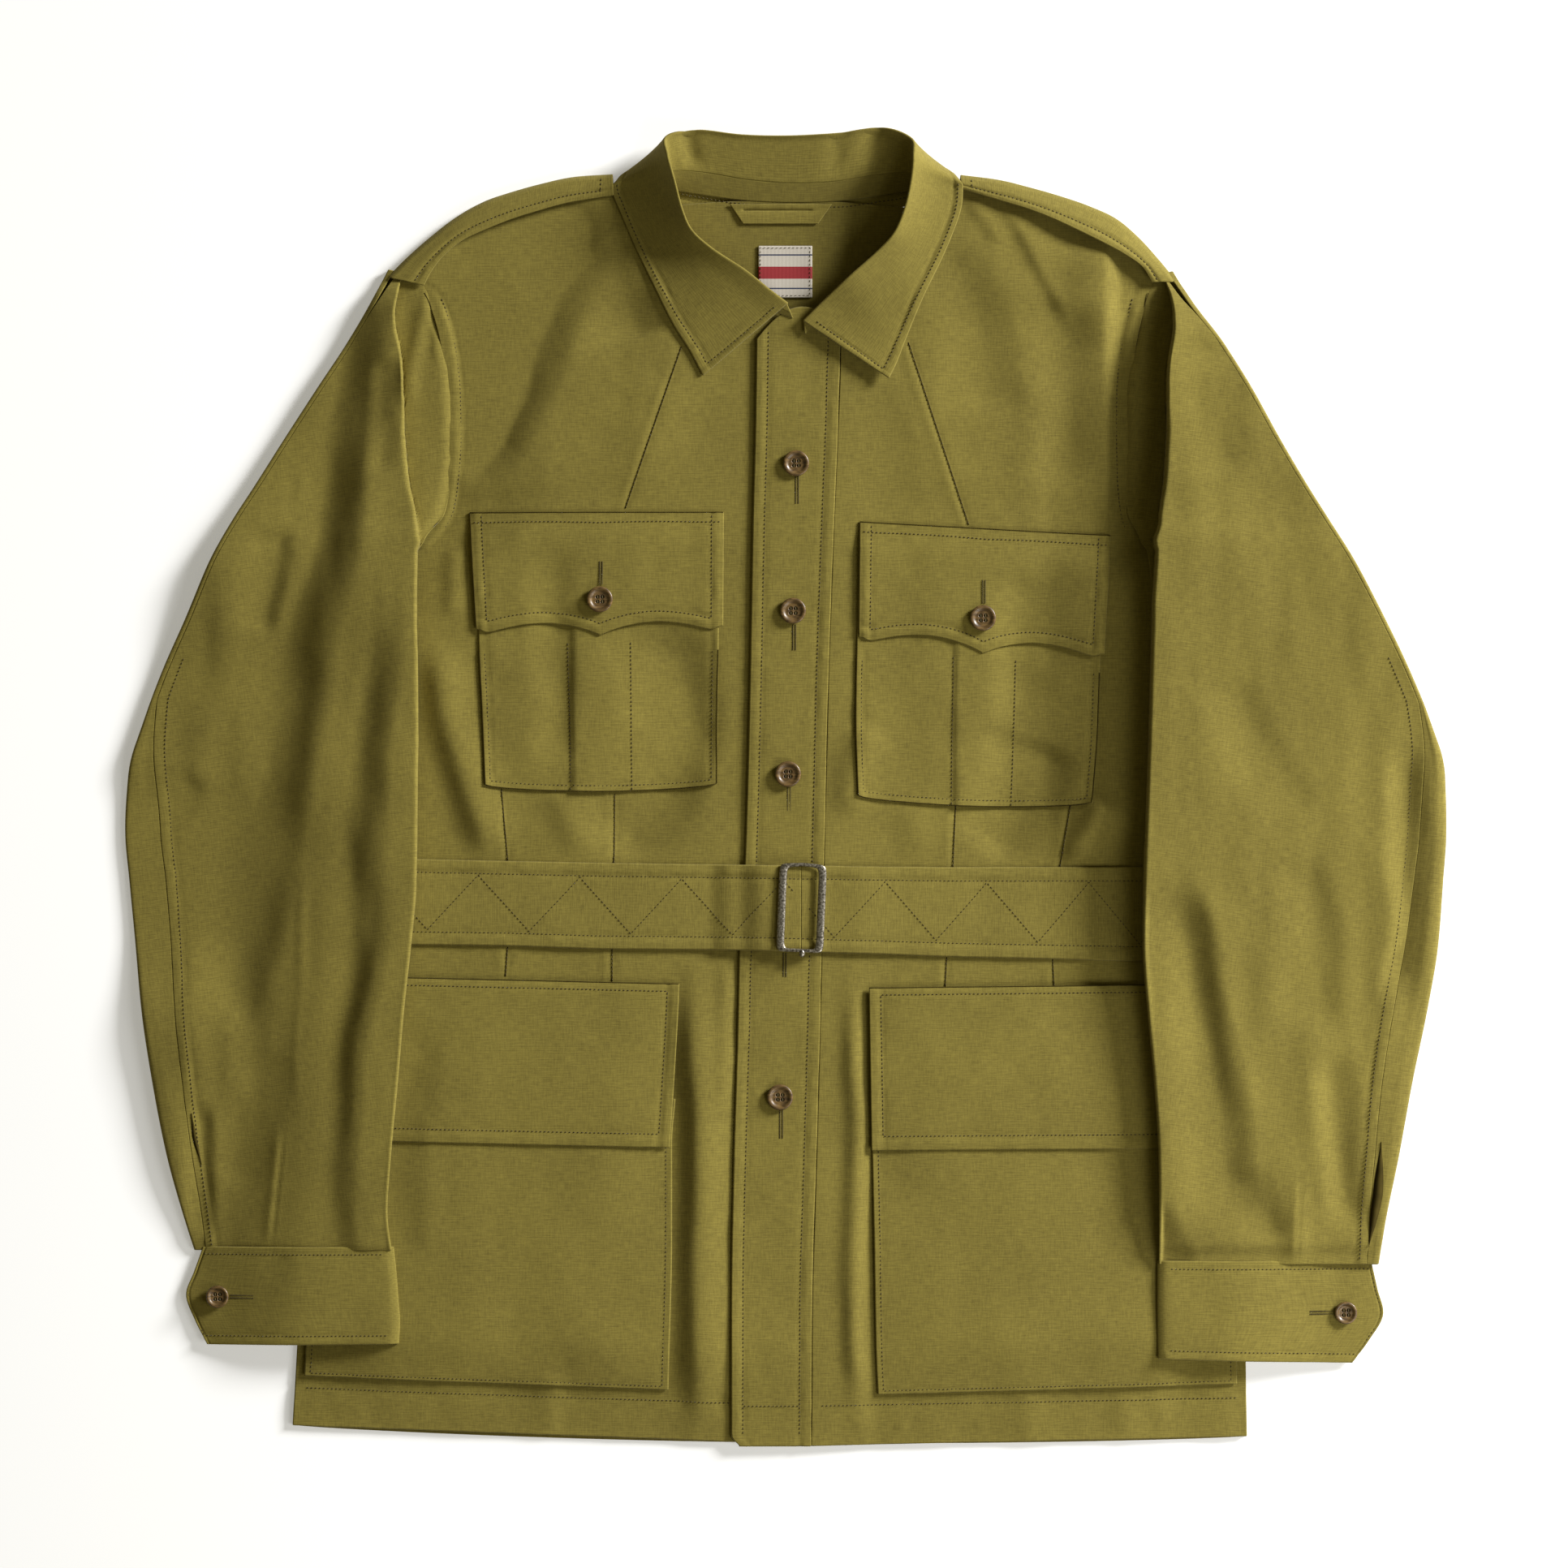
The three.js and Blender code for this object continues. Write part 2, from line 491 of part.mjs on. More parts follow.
// Collar, from the right front end round the back of the neck to the left front end. N is the neck seam,
// R the roll line and E the outer edge; drop says how fast the leaf falls from the roll to its edge.
const collarRows = table('nx ny nz rx ry rz ex ey ez drop', [
  [5, 271, 8.6, 1.5, 281, 12.4, -46.8, 238.4, 8.4, 1.2], [-9, 276, 8.2, -9, 288, 13.4, -54, 252, 8.2, 1.3],
  [-22, 283, 7.4, -23, 298, 14.6, -64, 268, 8.2, 1.5], [-40, 295, 6.8, -41, 309.6, 16.4, -74, 288, 8.2, 1.8],
  [-55, 309, 6.4, -53, 320, 18.4, -85, 311, 8.2, 2], [-64.5, 325, 6.2, -58.6, 332, 19.6, -95, 331, 8.2, 2.2],
  [-70, 338, 5.6, -62.8, 348, 19.4, -100.6, 348, 8, 2.4], [-70, 345.6, 4, -66, 362, 18, -99.4, 354.4, 3, 2.6],
  [-60, 344.4, 3, -67, 375, 14, -90, 350, 0.76, 3], [-42, 341.6, 2.6, -50, 379.2, 11, -62, 337, 0.76, 3],
  [-20, 339, 2.6, -24, 376.6, 10, -30, 334, 0.76, 3], [4, 338, 2.6, 4, 376, 10, 4, 333, 0.76, 3],
  [28, 338.6, 2.6, 32, 377.6, 10.4, 38, 334, 0.76, 3], [52, 341.4, 2.6, 56, 380.6, 11.6, 70, 337, 0.76, 3],
  [71, 344.6, 3, 73, 373.6, 14.4, 94, 350, 0.76, 3], [80.6, 345.6, 4, 74.4, 362, 18, 103.4, 354.4, 3, 2.6],
  [80.6, 338, 5.6, 73, 348, 19.4, 104, 346, 8, 2.4], [76.5, 325, 6.2, 69.6, 333, 19.6, 102, 331, 8.2, 2.2],
  [67.5, 309, 6.4, 63.6, 319, 18.4, 92, 308, 8.2, 2], [53.5, 294.6, 6.8, 53, 307.4, 16.4, 80, 283, 8.4, 1.8],
  [38, 283, 7.4, 38, 294, 14.6, 70.4, 260, 8.6, 1.5], [23, 272, 8, 24, 281.6, 13.4, 65, 246, 8.8, 1.3],
  [12, 261.6, 9, 11.6, 270.4, 12.4, 60.4, 236.4, 9, 1.2],
]);
const standShare = 0.4;

function collarPoint(row, part, v) {
  if (part === 'stand') {
    return new THREE.Vector3(mix(row.nx, row.rx, v), mix(row.ny, row.ry, v), mix(row.nz, row.rz, v ** 0.9));
  }
  const fall = (1 - v) ** row.drop;
  return new THREE.Vector3(mix(row.rx, row.ex, v), mix(row.ry, row.ey, v), mix(row.ez, row.rz, fall));
}

// Neighbouring rows are halved once so that the roll line runs smoothly.
function halvedRows(rows) {
  const result = [];
  rows.forEach((row, k) => {
    result.push(row);
    const next = rows[k + 1];
    const before = rows[k - 1];
    const after = rows[k + 2];
    if (!next || !before || !after) return;
    const middle = {};
    for (const name of Object.keys(row)) {
      middle[name] = (9 * (row[name] + next[name]) - before[name] - after[name]) / 16;
    }
    result.push(middle);
  });
  return result;
}

function makeCollar() {
  const rows = halvedRows(collarRows);
  const standPlaces = [0.02, standShare / 2, standShare - 0.02];
  const stand = rows.map((row) => standPlaces.map((v) => collarPoint(row, 'stand', v)));
  addPiece('collar_stand', clothWall(stand, panelWall), shadeMaterial);
  const leaf = rows.map((row) => {
    const inside = [standShare + 0.03, 0.62, 0.82].map((v) => collarPoint(row, 'stand', v));
    const crest = collarPoint(row, 'leaf', 0);
    crest.z += 0.7;
    const outside = [0.1, 0.25, 0.45, 0.7, 1].map((v) => collarPoint(row, 'leaf', v));
    outside[0].z += 0.4;
    return [...inside, crest, ...outside];
  });
  addPiece('collar_leaf', clothWall(leaf, panelWall), clothMaterial);
}

// Shoulder straps, folded over the shoulder edge. F is the front edge, O the silhouette, B the hidden edge.
const rightStrapRows = table('fx fy ox oy lift under', [
  [-105.4, 340.6, -105.8, 354, 6, 26], [-124, 338.2, -122, 353.4, 5.9, 26], [-141, 333.6, -140, 349.6, 5.8, 26],
  [-157, 328.6, -158, 344.6, 5.8, 26], [-172, 322.6, -174, 339, 5.8, 26], [-186, 316, -190, 330, 5.8, 24],
  [-197, 307, -205, 318.4, 5.8, 18], [-204, 298, -218, 307, 5.9, 11], [-208, 290.4, -228.6, 296.4, 6, 5],
]);
const leftStrapRows = table('fx fy ox oy lift under', [
  [108.6, 344.6, 108, 354.2, 6, 26], [124, 339.4, 124, 351.8, 5.9, 26], [141, 334, 141.4, 347.6, 5.8, 26],
  [156, 328, 159, 342.6, 5.8, 26], [170, 321.4, 176, 336.8, 5.8, 26], [184, 314.6, 192, 329.4, 5.8, 24],
  [197, 307.6, 205, 318.6, 6, 18], [207, 300.6, 216, 306.6, 6.2, 11], [212.6, 292, 226.4, 294, 6.2, 5],
]);

function makeStrap(side, rows) {
  const grid = rows.map((row, k) => {
    const before = rows[Math.max(0, k - 1)];
    const after = rows[Math.min(rows.length - 1, k + 1)];
    const along = new THREE.Vector2(after.ox - before.ox, after.oy - before.oy).normalize();
    const turn = side === 'right' ? 1 : -1;
    const inward = new THREE.Vector2(-along.y * turn, along.x * turn);
    const front = new THREE.Vector3(row.fx, row.fy, row.lift);
    const edgeTop = new THREE.Vector3(row.ox + inward.x * 2.6, row.oy + inward.y * 2.6, row.lift);
    const halfHeight = (row.lift + trimWall / 2) / 2;
    const crest = new THREE.Vector3(row.ox + inward.x * 0.6, row.oy + inward.y * 0.6, halfHeight);
    const edgeUnder = new THREE.Vector3(edgeTop.x, edgeTop.y, trimWall / 2);
    const hiddenX = row.ox + inward.x * row.under;
    const hiddenY = row.oy + inward.y * row.under;
    const hidden = new THREE.Vector3(hiddenX, hiddenY, trimWall / 2);
    const half = front.clone().lerp(edgeTop, 0.5);
    return [front, half, edgeTop, crest, edgeUnder, hidden];
  });
  addPiece(`epaulette_${side}`, clothWall(grid, trimWall), clothMaterial);
}

// Chest pockets. The flap's lower edge runs in two scallops to a middle point.
const chestPockets = {
  right: { tl: [-181.6, 158.9], tr: [-35, 159], bl: [-177.6, 87], br: [-35.4, 89], axisX: -106, scallop: 8.6,
    bag: table('leftX leftY rightX rightY', [
      [-172.4, 1.6, -38.9, 2.4], [-174, 42, -38.6, 42], [-176, 84, -38, 86], [-177, 130, -37.4, 132],
    ]) },
  left: { tl: [43.9, 153.4], tr: [188.3, 145.4], bl: [43.3, 82.6], br: [184.4, 72.6], axisX: 115, scallop: 9.4,
    bag: table('leftX leftY rightX rightY', [
      [42.8, -4.6, 177.6, -8.6], [41.6, 40, 180.6, 32], [42.2, 80, 182, 72], [43.6, 122, 184.6, 116],
    ]) },
};
const bagSag = 4;
const pleatHalf = 16.8;
const pleatRelief = 1;

// Lower edge of a scalloped flap, u from 0 to 1 across it: two arcs meeting in a point on the axis.
function scallopEdge(pocket, u) {
  const middle = (pocket.axisX - pocket.bl[0]) / (pocket.br[0] - pocket.bl[0]);
  const t = u < middle ? u / middle : (1 - u) / (1 - middle);
  return pocket.scallop * Math.sin(Math.PI * clamp01(t)) ** 0.85 * (0.75 + 0.25 * t);
}

function pleatBump(x, axis) {
  return pleatRelief * (1 - ease((Math.abs(x - axis) - pleatHalf + 2) / 3));
}

function makeChestPocket(side, pocket) {
  const bagLevel = (x, y) => frontTop(x, y) + 2 * seamGap + trimWall / 2;
  const breaks = [0, 0.04, 0.2, 0.375, 0.4, 0.5, 0.6, 0.625, 0.8, 0.96, 1];
  const bag = pocket.bag.map((row, k) => breaks.map((u) => {
    const x = mix(row.leftX, row.rightX, u);
    const sag = k === 0 ? bagSag * Math.sin(Math.PI * u) ** 0.6 : 0;
    const y = mix(row.leftY, row.rightY, u) - sag;
    return new THREE.Vector3(x, y, bagLevel(x, y) + pleatBump(x, pocket.axisX));
  }));
  addPiece(`chest_bag_${side}`, clothWall(bag, trimWall), clothMaterial);
  const flapLevel = (x, y) => frontTop(x, y) + 3 * seamGap + trimWall * 1.5 + pleatRelief;
  const across = [0, 0.06, 0.14, 0.22, 0.3, 0.38, 0.45, 0.5, 0.55, 0.62, 0.7, 0.78, 0.86, 0.94, 1];
  const flap = [0, 0.3, 0.65, 0.93, 1].map((v) => across.map((u) => {
    const lowX = mix(pocket.bl[0], pocket.br[0], u);
    const lowY = mix(pocket.bl[1], pocket.br[1], u) + scallopEdge(pocket, u);
    const x = mix(mix(pocket.tl[0], pocket.tr[0], u), lowX, v);
    const y = mix(mix(pocket.tl[1], pocket.tr[1], u), lowY, v);
    return new THREE.Vector3(x, y, flapLevel(x, y) - flapSeat * (1 - ease(v / 0.28)) + flapClear);
  }));
  addPiece(`chest_flap_${side}`, clothWall(flap, trimWall), clothMaterial);
}

// Lower pockets: a bag standing off the front on a folded edge, and a plain flap above it.
const lowerPockets = {
  right: {
    flap: table('leftX leftY rightX rightY', [
      [-262, -108.6, -60.6, -113.3], [-264, -130, -61.6, -135], [-266, -168, -63.8, -172],
      [-267.4, -203, -66.3, -207.4],
    ]),
    bag: table('leftX leftY rightX rightY', [
      [-268, -176, -63, -180], [-270, -204, -65, -207], [-273, -260, -65, -262], [-276, -322, -66.6, -326],
      [-277, -339.6, -67.2, -347.6],
    ]) },
  left: {
    flap: table('leftX leftY rightX rightY', [
      [49.3, -115.6, 258, -113.4], [49.6, -136, 259, -134], [50.2, -172, 260, -170], [50.8, -209, 260.6, -207.6],
    ]),
    bag: table('leftX leftY rightX rightY', [
      [50.6, -182, 260.6, -180], [51.2, -210, 260.8, -207], [52.3, -262, 261, -262], [53.4, -326, 261.4, -326],
      [54.5, -350.4, 261.6, -344.4],
    ]) },
};
const bagPuff = 1.1;

function makeLowerPocket(side, pocket) {
  const columns = [0, 0.06, 0.2, 0.4, 0.6, 0.8, 0.94, 1];
  const spread = (rows, level) => rows.map((row) => columns.map((u) => {
    const x = mix(row.leftX, row.rightX, u);
    const y = mix(row.leftY, row.rightY, u);
    return new THREE.Vector3(x, y, level(x, y, u));
  }));
  const puff = (u) => bagPuff * ease(u / 0.2) * ease((1 - u) / 0.2);
  const flapPuff = (u) => bagPuff * ease((u + 0.04) / 0.22) * ease((1.04 - u) / 0.22);
  const nearFront = (x, y) => frontTop(x, y) + pocketClear;
  const bagRest = seamGap + panelWall / 2;
  const flapRest = 2 * seamGap + panelWall + trimWall / 2 + lowerFlapClear;
  const bagLevel = (x, y, u) => nearFront(x, y) + bagRest + puff(u) * ease((y + 345) / 30);
  const flapLevel = (x, y, u) => nearFront(x, y) + flapRest + flapPuff(u);
  addPiece(`lower_bag_${side}`, clothWall(spread(pocket.bag, bagLevel), panelWall), clothMaterial);
  addPiece(`lower_flap_${side}`, clothWall(spread(pocket.flap, flapLevel), trimWall), clothMaterial);
}

// Belt: two lengths caught in the side seams that meet under the buckle.
const beltRows = {
  right: table('x top bottom', [
    [-264.8, -41, -89.4], [-240, -41.4, -89.8], [-211, -41.8, -90.2], [-166, -42.8, -90.7], [-135, -43.4, -91.6],
    [-104, -44, -92.6], [-70, -44.5, -92.9], [-48, -44.8, -93.1], [-30, -45, -93.2], [-12, -45.2, -93.4],
    [9.6, -45.6, -94],
  ]),
  left: table('x top bottom', [
    [10, -45.6, -94], [24, -45.6, -94.6], [36, -45.9, -95], [52, -46.1, -95.4], [75, -46.3, -96.3],
    [94, -46.5, -97], [130, -46.4, -97.8], [165, -46.3, -98.6], [205, -46.1, -99.6], [240, -46, -99.8],
    [264.6, -46, -100],
  ]),
};

// Height at which the belt clears the front, the placket and the button that the buckle hides.
function beltUnderside(x) {
  const middleY = -70;
  const overPlacket = ease((x + 44) / 14) * (1 - ease((x - 38) / 34));
  const overButton = ease((x + 26) / 14) * (1 - ease((x - 12) / 14));
  const onFront = frontMiddle(x, middleY) + panelWall / 2 + beltClear;
  return onFront + overPlacket * beltOverPlacket + overButton * beltOverButton;
}

function makeBelt(side) {
  const grid = beltRows[side].map((row) => [0, 0.3, 0.7, 1].map((v) => {
    const y = mix(row.top, row.bottom, v);
    return new THREE.Vector3(row.x, y, beltUnderside(row.x) + beltWall / 2);
  }));
  addPiece(`belt_${side}`, clothWall(grid, beltWall), clothMaterial);
}

const buckleCorners = [[-2.6, -43.4], [24.8, -45.1], [22.6, -95.4], [-4.6, -94.2]];
const bucklePeak = [13.4, -43];

function makeBuckle() {
  const outline = new THREE.Shape();
  const [topLeft, topRight, bottomRight, bottomLeft] = buckleCorners;
  outline.moveTo(bottomLeft[0], bottomLeft[1]);
  outline.lineTo(bottomRight[0], bottomRight[1]);
  outline.lineTo(topRight[0], topRight[1]);
  outline.lineTo(bucklePeak[0], bucklePeak[1]);
  outline.lineTo(topLeft[0], topLeft[1]);
  outline.closePath();
  const opening = new THREE.Path();
  opening.moveTo(bottomLeft[0] + buckleSideBar, bottomLeft[1] + buckleEndBar);
  opening.lineTo(topLeft[0] + buckleSideBar, topLeft[1] - buckleEndBar);
  opening.lineTo(bucklePeak[0], bucklePeak[1] - buckleEndBar);
  opening.lineTo(topRight[0] - buckleSideBar, topRight[1] - buckleEndBar);
  opening.lineTo(bottomRight[0] - buckleSideBar, bottomRight[1] + buckleEndBar);
  opening.closePath();
  outline.holes.push(opening);
  const bevel = 0.35;
  const geometry = new THREE.ExtrudeGeometry(outline, {
    depth: buckleWall - 2 * bevel, bevelThickness: bevel, bevelSize: bevel, bevelOffset: -bevel, bevelSegments: 1,
  });
  const mesh = addPiece('buckle', geometry, nickelMaterial);
  mesh.position.z = beltUnderside(10) + beltWall + seamGap + bevel;
}

// Buttons: a dished disc with a raised rim, turned as a closed profile. The fourth front button is hidden
// by the buckle.
const buttonClear = 0.35;
const cuffButtonClear = 0.6;
const frontButtons = [[7, 187.1], [5.2, 102], [2.3, 7.8], [0, -85.4], [-2.3, -178.6]];
const chestButtons = { right: [-106.2, 108.6], left: [114.7, 97.8] };
const cuffButtons = { right: [-327.2, -294], left: [324.6, -303.4] };

function makeButton(name, x, y, z, radius) {
  const thick = buttonThick;
  const profile = [[0, 0], [radius * 0.72, 0], [radius, thick * 0.45], [radius * 0.97, thick * 0.8],
    [radius * 0.84, thick], [radius * 0.68, thick * 0.78], [radius * 0.6, thick * 0.62], [0, thick * 0.62]];
  const geometry = new THREE.LatheGeometry(profile.map(([r, h]) => new THREE.Vector2(r, h)), 14);
  geometry.rotateX(Math.PI / 2);
  const mesh = addPiece(name, geometry, hornMaterial);
  mesh.position.set(x, y, z + seamGap);
}

function makeButtons() {
  frontButtons.forEach(([x, y], k) => {
    makeButton(`button_front_${k + 1}`, x, y, placketTop(x, y) + 0.1, buttonRadius);
  });
  for (const side of ['right', 'left']) {
    const [x, y] = chestButtons[side];
    const onFlap = frontTop(x, y) + 3 * seamGap + trimWall * 2 + pleatRelief + buttonClear;
    makeButton(`button_chest_${side}`, x, y, onFlap, buttonRadius);
    const [cuffX, cuffY] = cuffButtons[side];
    const rows = side === 'right' ? rightCuffRows : leftCuffRows;
    const width = Math.abs(rows[2].outerX - rows[2].innerX);
    const inward = Math.abs(cuffX - rows[2].innerX);
    const level = cuffTopHeight(inward, beyondBodyAt(side, cuffX, cuffY, inward), width) + panelWall / 2;
    makeButton(`button_cuff_${side}`, cuffX, cuffY, level + cuffButtonClear, cuffButtonRadius);
  }
}

// Hanger loop below the back neck seam, and the bare label under it.
function makeNeckTrim() {
  const onBack = (x, y, wall) => backMiddle(x, y) + panelWall / 2 + seamGap + wall / 2;
  const loop = table('leftX rightX y', [[-31, 27.4, 335.6], [-27.4, 23.6, 331], [-23.6, 19.6, 326.2]]);
  const strip = loop.map((row) => [0, 0.25, 0.5, 0.75, 1].map((u) => {
    const x = mix(row.leftX, row.rightX, u);
    return new THREE.Vector3(x, row.y, onBack(x, row.y, trimWall) + 0.1);
  }));
  addPiece('hanger_loop', clothWall(strip, trimWall), clothMaterial);
  const label = { left: -14.6, right: 16, top: 313, bottom: 283.5, wall: 1 };
  const patch = fractions(2).map((v) => fractions(2).map((u) => {
    const x = mix(label.left, label.right, u);
    const y = mix(label.bottom, label.top, v);
    return new THREE.Vector3(x, y, onBack(x, y, label.wall) + 0.1);
  }));
  addPiece('neck_label', clothWall(patch, label.wall), labelMaterial);
}

makeBack();
makeFronts();
makePlacket();
makeSleeve('right', rightSleeveRows);
makeSleeve('left', leftSleeveRows);
makeCuff('right', rightCuffRows);
makeCuff('left', leftCuffRows);
makeCollar();
makeStrap('right', rightStrapRows);
makeStrap('left', leftStrapRows);
makeChestPocket('right', chestPockets.right);
makeChestPocket('left', chestPockets.left);
makeLowerPocket('right', lowerPockets.right);
makeLowerPocket('left', lowerPockets.left);
makeBelt('right');
makeBelt('left');
makeBuckle();
makeButtons();
makeNeckTrim();

export default jacket;
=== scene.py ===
# Safari jacket laid flat on its back, seen from straight above on a white table.
# Shapes are worked out in millimetres on grids of two parameters and stored in metres.
import math

import bpy
import numpy as np
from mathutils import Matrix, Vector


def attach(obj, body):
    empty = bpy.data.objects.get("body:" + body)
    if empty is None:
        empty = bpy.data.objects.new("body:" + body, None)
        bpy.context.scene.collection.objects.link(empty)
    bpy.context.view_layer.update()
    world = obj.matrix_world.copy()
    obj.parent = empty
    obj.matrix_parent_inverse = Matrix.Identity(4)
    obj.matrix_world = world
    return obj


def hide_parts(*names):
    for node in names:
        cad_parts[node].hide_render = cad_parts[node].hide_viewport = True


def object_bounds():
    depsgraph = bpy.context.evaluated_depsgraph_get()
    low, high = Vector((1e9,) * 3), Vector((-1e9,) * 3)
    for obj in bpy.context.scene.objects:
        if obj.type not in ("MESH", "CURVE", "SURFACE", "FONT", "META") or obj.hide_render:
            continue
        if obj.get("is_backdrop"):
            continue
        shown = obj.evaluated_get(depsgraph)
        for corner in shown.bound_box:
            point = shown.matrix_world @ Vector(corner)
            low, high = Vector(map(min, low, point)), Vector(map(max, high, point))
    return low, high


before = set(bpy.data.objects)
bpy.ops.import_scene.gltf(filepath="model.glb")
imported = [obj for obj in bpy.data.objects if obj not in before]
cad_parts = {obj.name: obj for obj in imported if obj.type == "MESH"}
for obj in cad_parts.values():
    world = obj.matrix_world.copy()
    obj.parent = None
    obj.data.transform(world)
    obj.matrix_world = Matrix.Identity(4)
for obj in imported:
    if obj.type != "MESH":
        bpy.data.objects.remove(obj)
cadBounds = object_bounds()
mm = 0.001

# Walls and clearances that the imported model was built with
wallSizes = {"panel": 1.0, "trim": 0.75, "belt": 1.5, "placket": 1.4, "seamGap": 0.22, "panelGap": 0.4}

# Camera and light
view = {"height": 2.6, "frameWidth": 0.90804, "centreY": 0.0021, "sensor": 36.0}
lighting = {
    "keyPlace": (4.04, 2.43, 1.67), "keySize": 1.25, "keyPower": 480.0,
    "washPlace": (0.9, -0.75, 0.9), "washSize": 0.8, "washPower": 8.5,
    "skyColour": (1.0, 0.9, 0.5, 1.0), "skyStrength": 0.12, "floorGlow": 0.3,
}


def aimedLight(name, place, size, power, target=(0.0, 0.0, 0.0)):
    data = bpy.data.lights.new(name, "AREA")
    data.shape = "SQUARE"
    data.size = size
    data.energy = power
    light = bpy.data.objects.new(name, data)
    bpy.context.scene.collection.objects.link(light)
    away = np.array(place) - np.array(target)
    yaw = math.atan2(away[0], -away[1])
    tilt = math.acos(away[2] / np.linalg.norm(away))
    light.location = place
    light.rotation_euler = (tilt, 0.0, yaw)
    return light


def makeCamera():
    data = bpy.data.cameras.new("camera")
    data.sensor_width = view["sensor"]
    data.lens = view["sensor"] * view["height"] / view["frameWidth"]
    data.clip_end = 20
    camera = bpy.data.objects.new("camera", data)
    bpy.context.scene.collection.objects.link(camera)
    camera.location = (0.0, view["centreY"], view["height"])
    bpy.context.scene.camera = camera


makeCamera()
print("camera made")

# Number helpers, all on whole arrays


def ease(t):
    t = np.clip(t, 0.0, 1.0)
    return t * t * (3 - 2 * t)


def mix(a, b, t):
    return a + (b - a) * t


def bell(distance, width):
    return np.exp(-(distance / width) ** 2)


def columns(names, rows):
    """A short table as a dictionary of one array for each named column."""
    values = np.array(rows, float)
    return {name: values[:, k] for k, name in enumerate(names.split())}


def lookUp(rows, key, at, column):
    """Monotone cubic through the column's values: each piece starts and ends with the harmonic mean slope."""
    x, y = rows[key], rows[column]
    if x[-1] < x[0]:
        x, y = x[::-1], y[::-1]
    step = np.diff(x)
    slope = np.diff(y) / step
    tangent = np.empty_like(y)
    tangent[0], tangent[-1] = slope[0], slope[-1]
    product = slope[:-1] * slope[1:]
    total = np.where(product > 0, slope[:-1] + slope[1:], 1.0)
    tangent[1:-1] = np.where(product > 0, 2 * product / total, 0.0)
    place = np.clip(at, x[0], x[-1])
    k = np.clip(np.searchsorted(x, place) - 1, 0, len(step) - 1)
    t = (place - x[k]) / step[k]
    t2, t3 = t * t, t * t * t
    return ((2 * t3 - 3 * t2 + 1) * y[k] + (t3 - 2 * t2 + t) * step[k] * tangent[k]
            + (3 * t2 - 2 * t3) * y[k + 1] + (t3 - t2) * step[k] * tangent[k + 1])


noiseTable = np.random.default_rng(7).uniform(-1.0, 1.0, (128, 128))


def softNoise(x, y, size, seed):
    """Value noise: random heights on a square lattice of that size, blended by the ease curve, from -1 to 1."""
    gx, gy = x / size + seed * 17.31, y / size + seed * 9.77
    ix, iy = np.floor(gx).astype(int), np.floor(gy).astype(int)
    tx, ty = ease(gx - ix), ease(gy - iy)
    at = lambda i, j: noiseTable[(ix + i) % 128, (iy + j) % 128]
    return mix(mix(at(0, 0), at(1, 0), tx), mix(at(0, 1), at(1, 1), tx), ty)


towardLight = (0.86, 0.52)


def nearLine(places, x, y):
    """Distance from a bent line, positive on the side toward the light, and how far along it, from 0 to 1."""
    steps = [math.dist(a, b) for a, b in zip(places, places[1:])]
    total, run = sum(steps), 0.0
    nearest = np.full_like(x, np.inf)
    signed, along = np.zeros_like(x), np.zeros_like(x)
    for (x1, y1), (x2, y2), step in zip(places, places[1:], steps):
        dx, dy = (x2 - x1) / step, (y2 - y1) / step
        t = np.clip((x - x1) * dx + (y - y1) * dy, 0, step)
        far = np.hypot(x - x1 - t * dx, y - y1 - t * dy)
        side = (x - x1) * dy - (y - y1) * dx
        if dy * towardLight[0] - dx * towardLight[1] < 0:
            side = -side
        closer = far < nearest
        nearest = np.where(closer, far, nearest)
        signed = np.where(closer, np.where(side < 0, -far, far), signed)
        along = np.where(closer, (run + t) / total, along)
        run += step
    return signed, along


def creaseHeight(creases, x, y):
    """Ridges (rise above 0) and troughs along bent lines: a bell across each, with a width of its own on the
    flank away from the light and on the flank toward it, eased away at both ends."""
    height = np.zeros_like(x)
    for places, shadeWidth, lightWidth, rise in creases:
        signed, along = nearLine(places, x, y)
        width = np.where(signed < 0, shadeWidth, lightWidth)
        ends = ease(along / 0.22) * ease((1 - along) / 0.22)
        height = height + rise * bell(signed, width) * ends
    return height


def stepHeight(steps, x, y):
    """Where loose cloth steps down away from the light: it falls by drop across the width and climbs back over
    the reach beyond."""
    height = np.zeros_like(x)
    for places, width, drop, reach in steps:
        signed, along = nearLine(places, x, y)
        down = ease(0.5 - signed / width)
        back = 1 - ease((-signed - width / 2) / reach)
        ends = ease(along / 0.16) * ease((1 - along) / 0.16)
        height = height - drop * down * back * ends
    return height


def splineGrid(control, u, v):
    """Catmull-Rom surface through a grid of control points; u runs along its columns and v along its rows."""
    def weights(t):
        return np.stack([-0.5 * t + t * t - 0.5 * t ** 3, 1 - 2.5 * t * t + 1.5 * t ** 3,
                         0.5 * t + 2 * t * t - 1.5 * t ** 3, -0.5 * t * t + 0.5 * t ** 3])
    rows, cols = control.shape[:2]
    su, sv = np.clip(u, 0, 1) * (cols - 1), np.clip(v, 0, 1) * (rows - 1)
    iu = np.minimum(su.astype(int), cols - 2)
    iv = np.minimum(sv.astype(int), rows - 2)
    wu, wv = weights(su - iu), weights(sv - iv)
    # the grid is carried on past its ends in a straight line
    padded = np.concatenate([2 * control[:1] - control[1:2], control, 2 * control[-1:] - control[-2:-1]])
    padded = np.concatenate([2 * padded[:, :1] - padded[:, 1:2], padded, 2 * padded[:, -1:] - padded[:, -2:-1]], 1)
    total = 0.0
    for a in range(4):
        for b in range(4):
            total = total + (wv[a] * wu[b])[..., None] * padded[iv + a, iu + b]
    return total


gridDetail = 0.95   # share of the lines stated for each piece that its grid gets


